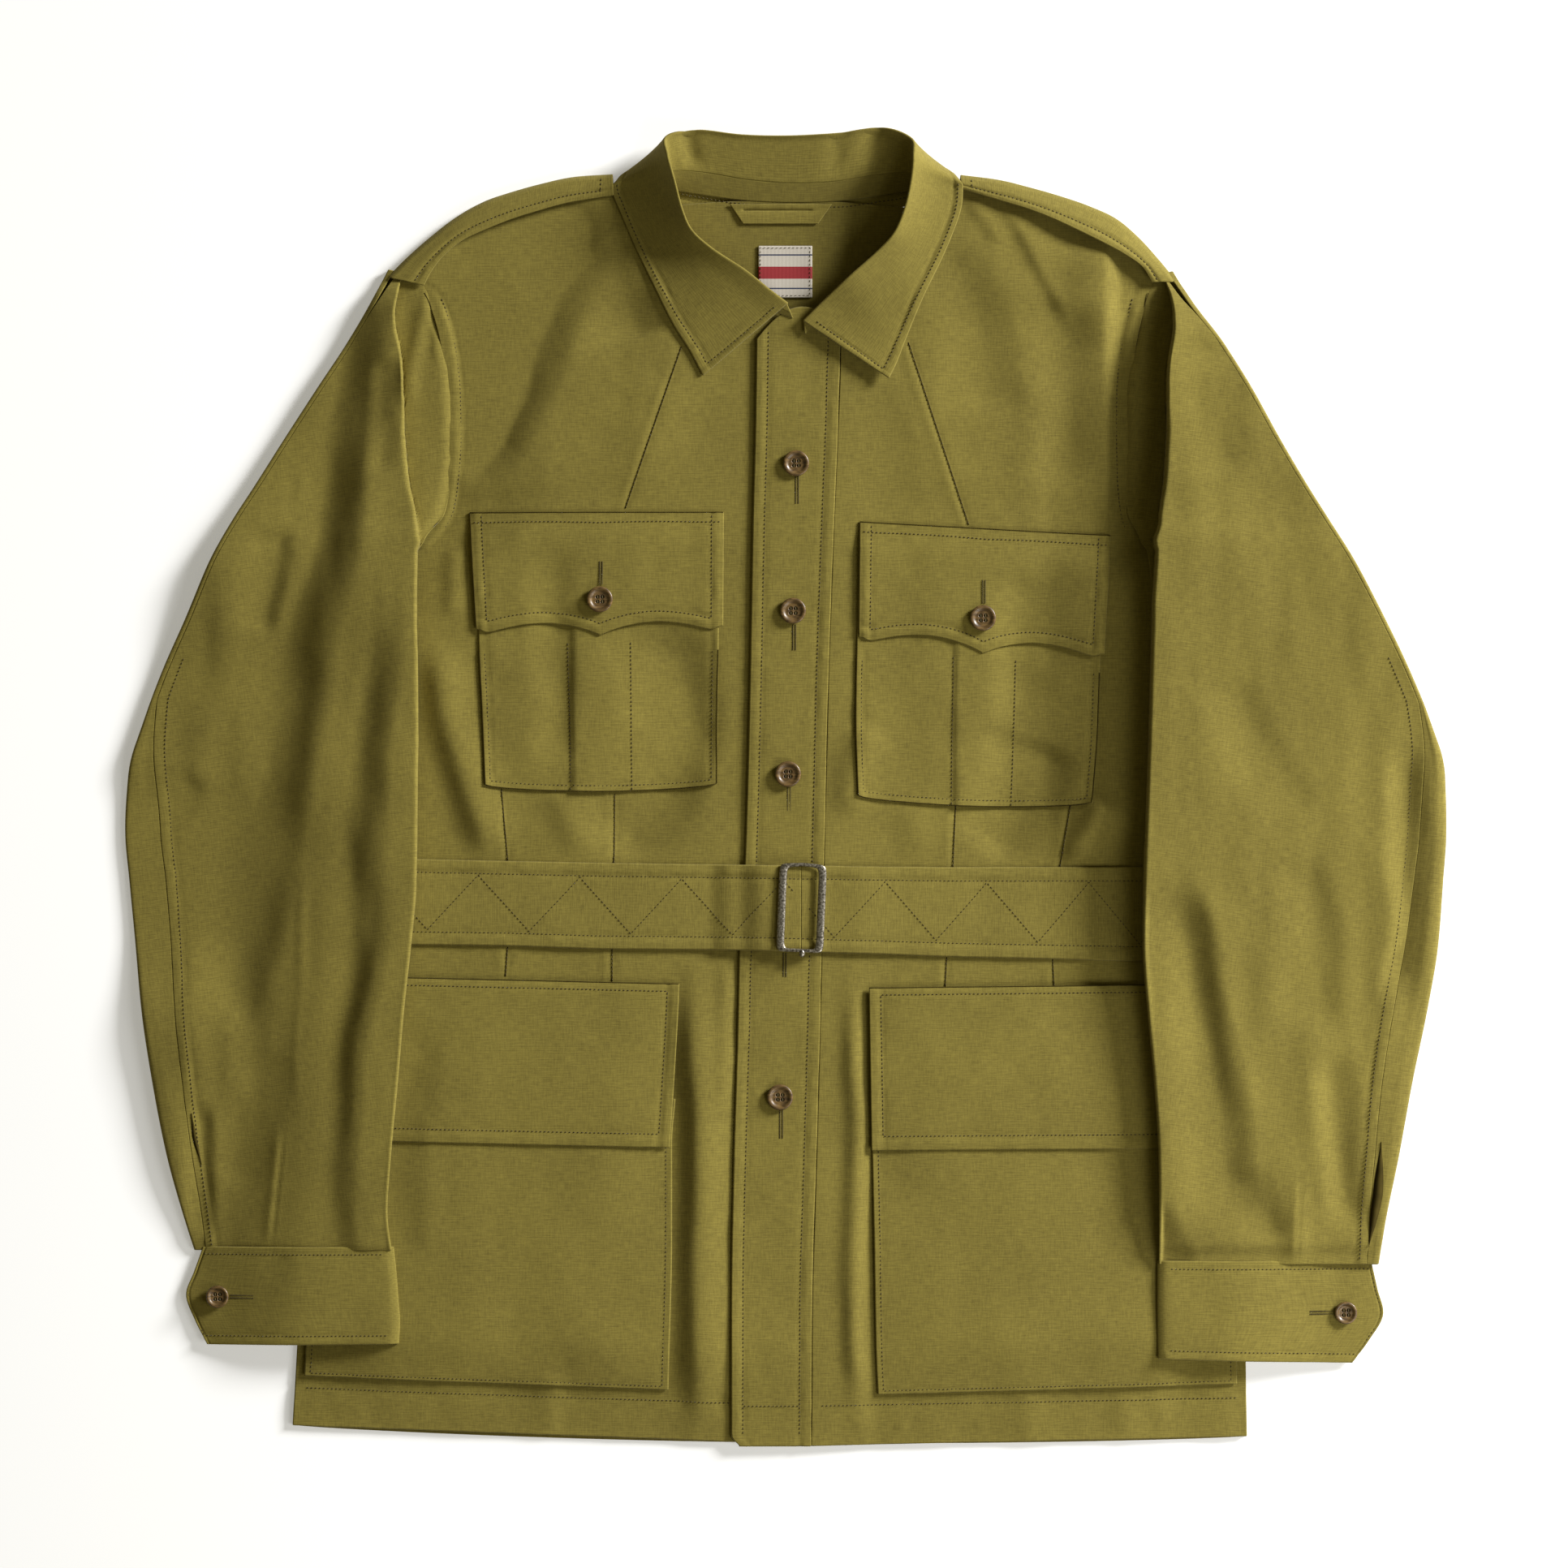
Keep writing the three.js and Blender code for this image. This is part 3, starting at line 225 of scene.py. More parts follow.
def spread(count, length, edge=0.45):
    """Fractions from 0 to 1: evenly spaced, with one more line close inside each end for a crisp edge."""
    count, inside = round(count * gridDetail), edge / length
    return np.concatenate([[0.0], np.linspace(inside, 1 - inside, count), [1.0]])


# Mesh making


def meshFromArrays(name, points, quads, uv=None, triangles=None, smooth=True):
    """Points in millimetres and rows of corner numbers become one mesh object in metres."""
    faces = [tuple(q) for q in quads.tolist()]
    if triangles is not None:
        faces += [tuple(t) for t in triangles.tolist()]
    mesh = bpy.data.meshes.new(name)
    mesh.from_pydata((points * mm).tolist(), [], faces)
    mesh.polygons.foreach_set("use_smooth", np.full(len(faces), smooth))
    if uv is not None:
        corners = np.empty(len(mesh.loops), int)
        mesh.loops.foreach_get("vertex_index", corners)
        layer = mesh.uv_layers.new(name="weave")
        layer.data.foreach_set("uv", (uv * mm)[corners].ravel())
    mesh.update()
    piece = bpy.data.objects.new(name, mesh)
    bpy.context.scene.collection.objects.link(piece)
    return piece


def unit(a):
    return a / np.maximum(np.linalg.norm(a, axis=-1, keepdims=True), 1e-9)


def clothShell(name, surface, uLines, vLines, wall, weave=None):
    """Cloth wall: surface(u, v) gives its middle, and half the wall is laid to each side along the normal,
    closed by a rounded rim."""
    u, v = np.meshgrid(uLines, vLines)
    middle = surface(u, v)
    alongU = unit(np.gradient(middle, axis=1))
    alongV = unit(np.gradient(middle, axis=0))
    normal = unit(np.cross(alongU, alongV))
    top, under = middle + normal * wall / 2, middle - normal * wall / 2
    rows, cols = u.shape
    number = np.arange(rows * cols).reshape(rows, cols)
    ring = np.concatenate([number[0, :-1], number[:-1, -1], number[-1, :0:-1], number[:0:-1, 0]])
    outward = np.zeros_like(middle)
    outward[:, 0] -= alongU[:, 0]
    outward[:, -1] += alongU[:, -1]
    outward[0] -= alongV[0]
    outward[-1] += alongV[-1]
    rim = (middle + unit(outward) * wall * 0.4).reshape(-1, 3)[ring]
    points = np.concatenate([top.reshape(-1, 3), under.reshape(-1, 3), rim])
    a, b = number[:-1, :-1].ravel(), number[:-1, 1:].ravel()
    c, d = number[1:, 1:].ravel(), number[1:, :-1].ravel()
    shift, first = rows * cols, 2 * rows * cols
    nextRing = np.roll(ring, -1)
    rimA = first + np.arange(len(ring))
    rimB = np.roll(rimA, -1)
    quads = np.concatenate([
        np.stack([a, b, c, d], 1), np.stack([a, d, c, b], 1) + shift,
        np.stack([ring, rimA, rimB, nextRing], 1), np.stack([rimA, ring + shift, nextRing + shift, rimB], 1),
    ])
    flat = middle[..., :2] if weave is None else weave(u, v, middle)
    flat = flat.reshape(-1, 2)
    piece = meshFromArrays(name, points, quads, np.concatenate([flat, flat, flat[ring]]))
    piece["clothArea"] = float(quadAreas(middle).sum() * mm * mm)
    piece["clothSpan"] = [float(lineLengths(middle, 1).max() * mm), float(lineLengths(middle, 0).max() * mm)]
    return piece


def quadAreas(grid):
    a, b = grid[1:, 1:] - grid[:-1, :-1], grid[1:, :-1] - grid[:-1, 1:]
    return np.linalg.norm(np.cross(a, b), axis=-1) / 2


def lineLengths(grid, axis):
    return np.linalg.norm(np.diff(grid, axis=axis), axis=-1).sum(axis=axis)


def pathOn(surface, u, v, wall, lift=0.0):
    """Points on the upper side of a surface along a line of parameters, and the normals there."""
    step = 0.002
    at = surface(u, v)
    su, sv = np.where(u < 0.5, step, -step), np.where(v < 0.5, step, -step)
    alongU = (surface(u + su, v) - at) / su[..., None]
    alongV = (surface(u, v + sv) - at) / sv[..., None]
    normal = unit(np.cross(alongU, alongV))
    # some grids run the other way round, and the line is always wanted on the upper side
    normal = np.where(normal[:, 2:] < 0, -normal, normal)
    return at + normal * (wall / 2 + lift), normal


def spacedLine(points, normals, pitch):
    """A line's points and normals taken again at even steps of about one pitch."""
    run = np.concatenate([[0.0], np.cumsum(np.linalg.norm(np.diff(points, axis=0), axis=1))])
    count = max(2, int(round(run[-1] / pitch)))
    at = (np.arange(count) + 0.5) / count * run[-1]
    pick = lambda values: np.stack([np.interp(at, run, values[:, k]) for k in range(3)], 1)
    centre = pick(points)
    ahead = np.stack([np.interp(at + 0.2, run, points[:, k]) for k in range(3)], 1)
    behind = np.stack([np.interp(at - 0.2, run, points[:, k]) for k in range(3)], 1)
    return centre, unit(ahead - behind), unit(pick(normals))


thread = {"pitch": 2.4, "length": 1.7, "radius": 0.42, "sink": 0.0}


def stitchMesh(name, lines, length=None, pitch=None, radius=None, across=False):
    """Every stitch is a spindle: two sunk ends and a ring of four points round its middle."""
    length, pitch = length or thread["length"], pitch or thread["pitch"]
    radius = radius or thread["radius"]
    centres, tangents, normals = [], [], []
    for points, lineNormals in lines:
        c, t, n = spacedLine(points, lineNormals, pitch)
        centres.append(c)
        tangents.append(t)
        normals.append(n)
    c, t, n = np.concatenate(centres), np.concatenate(tangents), np.concatenate(normals)
    side = unit(np.cross(n, t))
    if across:
        t, side = side, -t
    half = length / 2
    ring = [side * radius, n * radius, -side * radius, -n * radius]
    ends = [c - t * half - n * thread["sink"], c + t * half - n * thread["sink"]]
    points = np.stack(ends + [c + r for r in ring], 1).reshape(-1, 3)
    base = np.arange(len(c))[:, None] * 6
    tri = []
    for k in range(4):
        m = (k + 1) % 4
        tri.append(base + np.array([[0, 2 + m, 2 + k]]))
        tri.append(base + np.array([[1, 2 + k, 2 + m]]))
    return meshFromArrays(name, points, np.empty((0, 4), int), triangles=np.concatenate(tri))


def seamMesh(name, lines, width=0.55, tall=0.16, lens=False):
    """Each line becomes a thin closed strip with a four-cornered section, laid along the cloth."""
    points, quads, first = [], [], 0
    for line, normals in lines:
        centre, tangent, normal = spacedLine(line, normals, 3.0)
        # both ends reach the line's own ends
        centre[0], centre[-1] = line[0], line[-1]
        wide = np.sin(np.linspace(0, np.pi, len(centre)))[:, None] * 0.98 + 0.02 if lens else 1.0
        side = unit(np.cross(normal, tangent)) * wide * width / 2
        ring = np.stack([centre + side, centre + normal * tall, centre - side, centre - normal * tall], 1)
        points.append(ring.reshape(-1, 3))
        count = len(centre)
        base = first + np.arange(count - 1)[:, None] * 4
        for k in range(4):
            m = (k + 1) % 4
            quads.append(base + np.array([[k, m, 4 + m, 4 + k]]))
        last = first + (count - 1) * 4
        quads.append(np.array([[first + 3, first + 2, first + 1, first], [last, last + 1, last + 2, last + 3]]))
        first += count * 4
    return meshFromArrays(name, np.concatenate(points), np.concatenate(quads))


# Materials


def linear(hexColour):
    """sRGB hex to linear values."""
    parts = [int(hexColour[k:k + 2], 16) / 255 for k in (1, 3, 5)]
    return tuple(p / 12.92 if p <= 0.04045 else ((p + 0.055) / 1.055) ** 2.4 for p in parts) + (1.0,)


def addNode(tree, kind, settings=None, links=None):
    """One node with its settings, {name or number of an input: value}, and what each input takes its value from."""
    node = tree.nodes.new(kind)
    for name, value in (settings or {}).items():
        if isinstance(name, int) or name in node.inputs:
            node.inputs[name].default_value = value
        else:
            setattr(node, name, value)
    for name, source in (links or {}).items():
        tree.links.new(source, node.inputs[name])
    return node


def newMaterial(name, colour, roughness, metallic=0.0):
    material = bpy.data.materials.new(name)
    material.use_nodes = True
    shader = material.node_tree.nodes["Principled BSDF"]
    shader.inputs["Base Color"].default_value = linear(colour)
    shader.inputs["Roughness"].default_value = roughness
    shader.inputs["Metallic"].default_value = metallic
    return material, material.node_tree, shader


cottonLook = {
    "ribPitch": 1.05,  # mm from rib to rib
    "slubLong": 150.0, "slubShort": 1150.0,  # turns of the noise in a metre, along a thread and across it
    "ribShare": 0.1, "wovenDepth": 0.05, "fadeSize": 60.0, "sheen": 0.06, "roughness": 0.9,
}


def ribbedCotton(name, lightColour, darkColour, ribsAcross=False):
    """Piece-dyed olive cotton rep: fine ribs crossed by uneven threads. It gives the eye a matt, slightly dusty
    cloth with faint streaks along both threads and a cloudy, uneven dye."""
    material, tree, shader = newMaterial(name, lightColour, cottonLook["roughness"])
    uv = addNode(tree, "ShaderNodeUVMap", {"uv_map": "weave"})

    def noise(scale, detail=2.0, stretch=(1.0, 1.0, 1.0)):
        stretched = addNode(tree, "ShaderNodeMapping", {"Scale": stretch}, {0: uv.outputs["UV"]})
        return addNode(tree, "ShaderNodeTexNoise", {"Scale": scale, "Detail": detail}, {"Vector": stretched.outputs[0]})

    def add(source, share, rest):
        return addNode(tree, "ShaderNodeMath", {"operation": "MULTIPLY_ADD", 1: share}, {0: source, 2: rest})

    long, short = cottonLook["slubLong"], cottonLook["slubShort"]
    weft, warp = noise(1.0, 2.0, (long, short, 1.0)), noise(1.0, 2.0, (short, long, 1.0))
    axes = addNode(tree, "ShaderNodeSeparateXYZ", {}, {0: uv.outputs["UV"]})
    turns = addNode(tree, "ShaderNodeMath", {"operation": "MULTIPLY", 1: 2 * math.pi / (cottonLook["ribPitch"] * mm)},
                    {0: axes.outputs[0 if ribsAcross else 1]})
    ribs = addNode(tree, "ShaderNodeMath", {"operation": "SINE"}, {0: turns.outputs[0]})
    ribbed = addNode(tree, "ShaderNodeMath", {"operation": "MULTIPLY", 1: cottonLook["ribShare"]}, {0: ribs.outputs[0]})
    threads = add(weft.outputs[0], 0.8 if ribsAcross else 1.0, ribbed.outputs[0])
    threads = add(warp.outputs[0], 1.0 if ribsAcross else 0.8, threads.outputs[0])
    grain = noise(1600.0)
    threads = add(grain.outputs[0], 0.5, threads.outputs[0])
    cloud = noise(1000 / cottonLook["fadeSize"], 4.0)
    tone = add(cloud.outputs[0], 0.55, threads.outputs[0])
    ramp = addNode(tree, "ShaderNodeValToRGB")
    # the weighted sum of the four noises is about 1.4, in the middle of the ramp
    spreadOut = addNode(tree, "ShaderNodeMapRange", {"From Min": 0.55, "From Max": 2.2}, {0: tone.outputs[0]})
    tree.links.new(spreadOut.outputs[0], ramp.inputs[0])
    ramp.color_ramp.elements[0].color = linear(darkColour)
    ramp.color_ramp.elements[1].color = linear(lightColour)
    tree.links.new(ramp.outputs[0], shader.inputs["Base Color"])
    bump = addNode(tree, "ShaderNodeBump", {"Strength": 0.6, "Distance": cottonLook["wovenDepth"] * mm},
                   {"Height": threads.outputs[0]})
    tree.links.new(bump.outputs[0], shader.inputs["Normal"])
    shader.inputs["Sheen Weight"].default_value = cottonLook["sheen"]
    shader.inputs["Sheen Roughness"].default_value = 0.5
    shader.inputs["Specular IOR Level"].default_value = 0.25
    return material


def shadedSeam():
    """Painted shade: the valley where two cloth edges are sewn together, coloured as a thin line of olive in deep
    shade.
    """
    material, tree, shader = newMaterial("paintedSeamShade", "#3a3110", 1.0)
    place = addNode(tree, "ShaderNodeTexCoord")
    noise = addNode(tree, "ShaderNodeTexNoise", {"Scale": 120.0}, {"Vector": place.outputs["Object"]})
    ramp = addNode(tree, "ShaderNodeValToRGB", {}, {0: noise.outputs[0]})
    ramp.color_ramp.elements[0].color = linear("#2a230a")
    ramp.color_ramp.elements[1].color = linear("#4c4119")
    tree.links.new(ramp.outputs[0], shader.inputs["Base Color"])
    shader.inputs["Specular IOR Level"].default_value = 0.1
    return material


def sewingThreadAndShade():
    """Spun polyester thread, a little browner than the cloth, coloured darker still with the painted shade of the
    needle holes and grooves it lies in: small dull dashes.
    """
    material, tree, shader = newMaterial("threadWithPaintedShade", "#463b18", 0.8)
    place = addNode(tree, "ShaderNodeTexCoord")
    noise = addNode(tree, "ShaderNodeTexNoise", {"Scale": 260.0}, {"Vector": place.outputs["Object"]})
    ramp = addNode(tree, "ShaderNodeValToRGB", {}, {0: noise.outputs[0]})
    ramp.color_ramp.elements[0].color = linear("#332a10")
    ramp.color_ramp.elements[1].color = linear("#574b20")
    tree.links.new(ramp.outputs[0], shader.inputs["Base Color"])
    return material


def polishedHorn():
    """Cast polyester made to look like horn, tumbled to a satin gloss: brown with darker clouds and streaks."""
    material, tree, shader = newMaterial("hornPolyester", "#6a5334", 0.42)
    place = addNode(tree, "ShaderNodeTexCoord")
    stretch = addNode(tree, "ShaderNodeMapping", {"Scale": (260.0, 700.0, 260.0), "Rotation": (0.0, 0.0, 0.6)},
                      {0: place.outputs["Object"]})
    streak = addNode(tree, "ShaderNodeTexNoise", {"Scale": 1.0, "Detail": 4.0}, {"Vector": stretch.outputs[0]})
    ramp = addNode(tree, "ShaderNodeValToRGB", {}, {0: streak.outputs[0]})
    ramp.color_ramp.elements[0].color = linear("#3f2e18")
    ramp.color_ramp.elements[0].position = 0.3
    ramp.color_ramp.elements[1].color = linear("#7c6136")
    ramp.color_ramp.elements[1].position = 0.72
    tree.links.new(ramp.outputs[0], shader.inputs["Base Color"])
    shader.inputs["Coat Weight"].default_value = 0.15
    shader.inputs["Coat Roughness"].default_value = 0.15
    return material


def antiqueNickel():
    """Die-cast zinc with antique nickel plate, rubbed back: grey-brown metal, brighter where it is worn."""
    material, tree, shader = newMaterial("antiqueNickelPlate", "#9a948a", 0.34, 0.9)
    place = addNode(tree, "ShaderNodeTexCoord")
    noise = addNode(tree, "ShaderNodeTexNoise", {"Scale": 900.0, "Detail": 5.0}, {"Vector": place.outputs["Object"]})
    ramp = addNode(tree, "ShaderNodeValToRGB", {}, {0: noise.outputs[0]})
    ramp.color_ramp.elements[0].color = linear("#665f54")
    ramp.color_ramp.elements[0].position = 0.35
    ramp.color_ramp.elements[1].color = linear("#ccc5b8")
    ramp.color_ramp.elements[1].position = 0.7
    tree.links.new(ramp.outputs[0], shader.inputs["Base Color"])
    rough = addNode(tree, "ShaderNodeMapRange", {"To Min": 0.24, "To Max": 0.5}, {0: noise.outputs[0]})
    tree.links.new(rough.outputs[0], shader.inputs["Roughness"])
    bump = addNode(tree, "ShaderNodeBump", {"Strength": 0.2, "Distance": 0.00005}, {"Height": noise.outputs[0]})
    tree.links.new(bump.outputs[0], shader.inputs["Normal"])
    return material


def wovenTape():
    """Cream damask tape with a plain red band and thin navy lines: a smooth, faintly ribbed patch."""
    material, tree, shader = newMaterial("creamDamaskTape", "#c6beb2", 0.7)
    uv = addNode(tree, "ShaderNodeUVMap", {"uv_map": "weave"})
    axes = addNode(tree, "ShaderNodeSeparateXYZ", {}, {0: uv.outputs["UV"]})
    ramp = addNode(tree, "ShaderNodeValToRGB")
    height = addNode(tree, "ShaderNodeMath", {"operation": "MULTIPLY_ADD", 1: 1 / 0.0295, 2: -283.5 / 29.5},
                     {0: axes.outputs[1]})
    tree.links.new(height.outputs[0], ramp.inputs[0])
    stripes = [(0.0, "#c6beb2"), (0.16, "#2c3550"), (0.185, "#c6beb2"), (0.36, "#96242a"), (0.6, "#c6beb2"),
               (0.815, "#2c3550"), (0.84, "#c6beb2")]
    ramp.color_ramp.interpolation = "CONSTANT"
    ramp.color_ramp.elements[0].color = linear(stripes[0][1])
    ramp.color_ramp.elements[1].position = stripes[1][0]
    ramp.color_ramp.elements[1].color = linear(stripes[1][1])
    for position, colour in stripes[2:]:
        ramp.color_ramp.elements.new(position).color = linear(colour)
    tree.links.new(ramp.outputs[0], shader.inputs["Base Color"])
    ribs = addNode(tree, "ShaderNodeMath", {"operation": "MULTIPLY", 1: 2 * math.pi / 0.0006}, {0: axes.outputs[0]})
    sine = addNode(tree, "ShaderNodeMath", {"operation": "SINE"}, {0: ribs.outputs[0]})
    bump = addNode(tree, "ShaderNodeBump", {"Strength": 0.3, "Distance": 0.00008}, {"Height": sine.outputs[0]})
    tree.links.new(bump.outputs[0], shader.inputs["Normal"])
    return material


def tableTop():
    """Matt white laminate, lit so that it reads as plain white."""
    material, tree, shader = newMaterial("mattWhiteLaminate", "#f6f6f6", 0.9)
    place = addNode(tree, "ShaderNodeTexCoord")
    noise = addNode(tree, "ShaderNodeTexNoise", {"Scale": 3.0}, {"Vector": place.outputs["Object"]})
    ramp = addNode(tree, "ShaderNodeValToRGB", {}, {0: noise.outputs[0]})
    ramp.color_ramp.elements[0].color = linear("#f4f4f4")
    ramp.color_ramp.elements[1].color = linear("#f8f8f8")
    tree.links.new(ramp.outputs[0], shader.inputs["Base Color"])
    shader.inputs["Emission Color"].default_value = (1.0, 1.0, 1.0, 1.0)
    shader.inputs["Emission Strength"].default_value = lighting["floorGlow"]
    return material


bodyCloth = ribbedCotton("oliveCottonRep", "#9a8c3f", "#504518")
crossCloth = ribbedCotton("oliveCottonRepCrosswise", "#9c8e41", "#524719", ribsAcross=True)
# a darker copy of the body cotton: painted shade for the back panel and collar stand seen inside the neck
neckShadeCloth = ribbedCotton("oliveCottonRepPaintedShade", "#8c7f37", "#4a3f17")
# painted shade for the valleys of seams and sewn-down edges
seamShade = shadedSeam()
threadAndShadeFinish = sewingThreadAndShade()
hornFinish = polishedHorn()
nickelFinish = antiqueNickel()
labelFinish = wovenTape()
print("materials made")


def finishPiece(piece, material, nodes=()):
    """Dresses a piece, lets it ride on the one body and hides the solids that it stands for."""
    piece.data.materials.append(material)
    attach(piece, "root")
    if nodes:
        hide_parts(*nodes)
    return piece


# The body's outline, in millimetres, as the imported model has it

bodyRight = columns("y x", [
    (-377, -284), (-296, -280), (-202, -274.5), (-110, -269), (-66, -266), (0, -264.5), (80, -262), (93, -261),
    (105, -252), (117, -239.5), (129, -225.5), (139, -213), (148, -204.4), (159, -198.2), (179, -194.8),
    (203, -193.4), (227, -193.8), (251, -196.2), (270, -200.3), (286, -206.5), (296, -222)])
bodyLeft = columns("y x", [
    (-377, 267.5), (-296, 266.5), (-202, 265.5), (-110, 264.6), (-66, 265), (0, 266.5), (80, 269), (93, 268),
    (105, 254.5), (117, 238.5), (129, 222.5), (139, 210.8), (148, 205), (159, 201.4), (179, 199.4),
    (203, 198.9), (227, 199), (251, 201.3), (270, 205.2), (286, 209.2), (296, 218)])
placketEdges = columns("y left right", [
    (-380.5, -30.1, 15.6), (-298, -30.1, 16), (-217, -28.7, 18.4), (-136, -26.3, 20.7), (-95, -25.4, 21.6),
    (-42, -22.1, 23), (61, -19.3, 25.4), (153, -17.6, 28.7), (208, -16.2, 31), (262, -15.5, 32.6)])
hemLine = columns("x y", [
    (-284, -368.6), (-228, -372.7), (-172, -374.6), (-116, -376.5), (-31, -377.4), (16, -380.4),
    (110, -379.3), (166, -377.4), (223, -376), (267.5, -375)])
shoulderEdge = columns("x y", [
    (-222, 296), (-209, 309), (-199, 318), (-185, 328), (-156, 340), (-116, 348.4), (-71, 343), (-31, 338),
    (4, 336), (37, 337), (82, 343), (117, 348.4), (157, 339.2), (188, 327), (205, 313), (218, 296)])
frontRows = {
    "right": columns("outerX outerY innerX innerY bow", [
        (-284, -368.6, 12.4, -379.4, 0), (-282.2, -340, 13.2, -350, 0), (-279.7, -292, 13.6, -300, 0),
        (-275.8, -224, 15.5, -230, 0), (-272, -160, 17, -164, 0), (-268.4, -100, 18.6, -102, 0),
        (-266, -66, 19.2, -68, 0), (-264.6, -20, 20.4, -20, 0), (-263.6, 24, 21.6, 24, 0),
        (-262, 72, 22.6, 72, 0), (-261, 93, 23.4, 97, 0), (-239.5, 117, 24, 124, 0), (-213, 139, 25, 150, 0),
        (-198.2, 159, 26, 176, 0), (-194.6, 182, 26.8, 204, 1), (-193.8, 210, 27.6, 238, 3),
        (-194.6, 237, 4, 269, 5), (-197.8, 260, -17, 277.4, 9), (-202, 275, -38, 290.5, 14),
        (-207, 286.4, -54.5, 305.5, 18), (-213.5, 291.5, -65, 324, 21), (-222, 296, -71, 343, 23)]),
    "left": columns("outerX outerY innerX innerY bow", [
        (267.5, -375, 16, -380.4, 0), (267, -346, 16.3, -350, 0), (266.5, -300, 16.5, -302, 0),
        (265.8, -230, 18.5, -232, 0), (265.1, -164, 20.4, -164, 0), (264.7, -100, 21.9, -102, 0),
        (265, -66, 22.8, -68, 0), (266.1, -20, 23.8, -20, 0), (267.2, 24, 25, 24, 0), (268.8, 72, 26.1, 72, 0),
        (268, 93, 27, 97, 0), (238.5, 117, 28, 124, 0), (210.8, 139, 29, 150, 0), (201.4, 159, 30.1, 176, 0),
        (199.4, 182, 31.3, 204, 1), (198.8, 210, 32.6, 236, 3), (199.8, 237, 33, 253.5, 5),
        (202.8, 260, 31, 277.5, 9), (206, 274, 51, 290.5, 14), (209.2, 286, 67.7, 305.5, 18),
        (212.5, 291, 78, 324, 21), (218, 296, 82, 343, 22)]),
}
backRows = columns("leftX leftY rightX rightY bow", [
    (-284, -368.6, 267.5, -375, -7), (-280, -296, 266.5, -300, 0), (-274.5, -202, 265.5, -202, 0),
    (-269, -110, 264.6, -110, 0), (-264.5, 0, 266.5, 0, 0), (-262, 80, 269, 80, 0), (-239.5, 117, 238.5, 117, 0),
    (-213, 139, 210.8, 139, 0), (-198.2, 159, 201.4, 159, 0), (-194.8, 179, 199.4, 179, 0),
    (-193.6, 203, 199, 203, 0), (-193.8, 227, 199, 227, 0), (-195.6, 246, 200.6, 246, 3),
    (-199.4, 265, 204.2, 265, 9), (-206, 285, 209, 285, 12), (-212, 291, 212, 291, 31), (-222, 296, 218, 296, 43.5)])

bodyShape = {"loft": 4.2, "edgeReach": 60.0, "shoulderRaise": 1.95, "placketStep": 1.7}

# Creases of the fronts: places along the crest, width of the shaded flank, width of the lit flank, height.
# They are folds of 5 to 40 mm across and up to 5 mm high, a trough having a height below 0.
bodyCreases = [
    (((-194, 168), (-110, 184), (-50, 204)), 8, 24, 1.0), (((-200, 88), (-196, 42), (-181, 0), (-164, -46)), 9, 14, 3.8),
    (((-132, 0), (-112, -42)), 8, 14, 1.2),
    (((-50, -92), (-51, -200), (-50, -300), (-50, -392)), 8, 18, 5.4),
    (((-190, 142), (-191, 98)), 5, 8, 1.2),
    (((-34, -92), (-35, -190)), 4, 5, 1.0), (((-133, -336), (-140, -384)), 10, 8, 1.0),
    (((-150, 300), (-160, 262), (-156, 232)), 12, 16, 1.2), (((-176, 250), (-186, 214)), 9, 12, 1.0),
    (((124, 342), (146, 304), (168, 264)), 5, 20, 1.8), (((106, 344), (126, 314)), 4, 9, 1.0),
    (((188, -2), (176, -26), (163, -48)), 8, 15, 4.4), (((42, -94), (40, -200), (40, -290), (41, -384)), 6, 6, 2.8),
    (((46, 40), (42, 10), (38, -20)), 10, 10, 2.2), (((140, -342), (142, -386)), 8, 10, 0.9),
    (((196, -346), (199, -386)), 7, 9, 0.9), (((240, -340), (243, -384)), 9, 12, 1.0),
    (((60, 246), (84, 200), (92, 162)), 16, 22, 1.0), (((150, 250), (146, 200), (150, 160)), 16, 18, 1.0),
    (((-70, 240), (-84, 206), (-90, 166)), 14, 18, 0.8), (((70, -6), (82, -44)), 12, 14, 0.8),
]
# Steps down of the loose fronts: places, width, drop and the reach over which they climb back
bodySteps = [
    (((-100, 336), (-121, 290), (-136, 255), (-147, 225), (-160, 198), (-184, 172)), 30, 6.0, 70),
    (((-92, 320), (-84, 296), (-70, 262)), 26, 2.4, 40), (((-46, 100), (-46, 60), (-44, 26), (-60, -14), (-96, -52)), 28, 3.6, 40),
    (((168, 310), (176, 240), (176, 170)), 24, 1.8, 30), (((96, 322), (112, 300), (124, 262), (130, 214)), 22, 1.8, 30),
    (((166, 24), (156, -10), (126, -50)), 24, 3.0, 40), (((-124, 150), (-122, 90), (-124, 10)), 16, 1.5, 20),
    (((148, 130), (152, 70), (156, 10)), 26, 1.6, 24), (((130, 40), (136, -20)), 20, 1.2, 24),
    (((-196, -130), (-214, -200), (-214, -280)), 22, 1.6, 24), (((246, -320), (246, -400)), 22, 1.8, 20),
]


def sideDistance(x, y):
    return np.minimum(x - lookUp(bodyRight, "y", y, "x"), lookUp(bodyLeft, "y", y, "x") - x)


def hemAt(x):
    return lookUp(hemLine, "x", x, "y")


def placketRightAt(y):
    return lookUp(placketEdges, "y", y, "right")


def backMiddle(x, y):
    """Flat on the table, lifted near the shoulders and the neck for what folds underneath."""
    fromShoulder = lookUp(shoulderEdge, "x", x, "y") - y
    return bodyShape["shoulderRaise"] * (1 - ease((fromShoulder - 52) / 30)) + wallSizes["panel"] / 2


def looseCloth(x, y):
    """Small unevenness of washed cotton: two sizes of noise, longer along the body than across it."""
    return 0.4 * softNoise(x, y * 0.6, 30, 1) + 0.12 * softNoise(x, y, 10, 2)


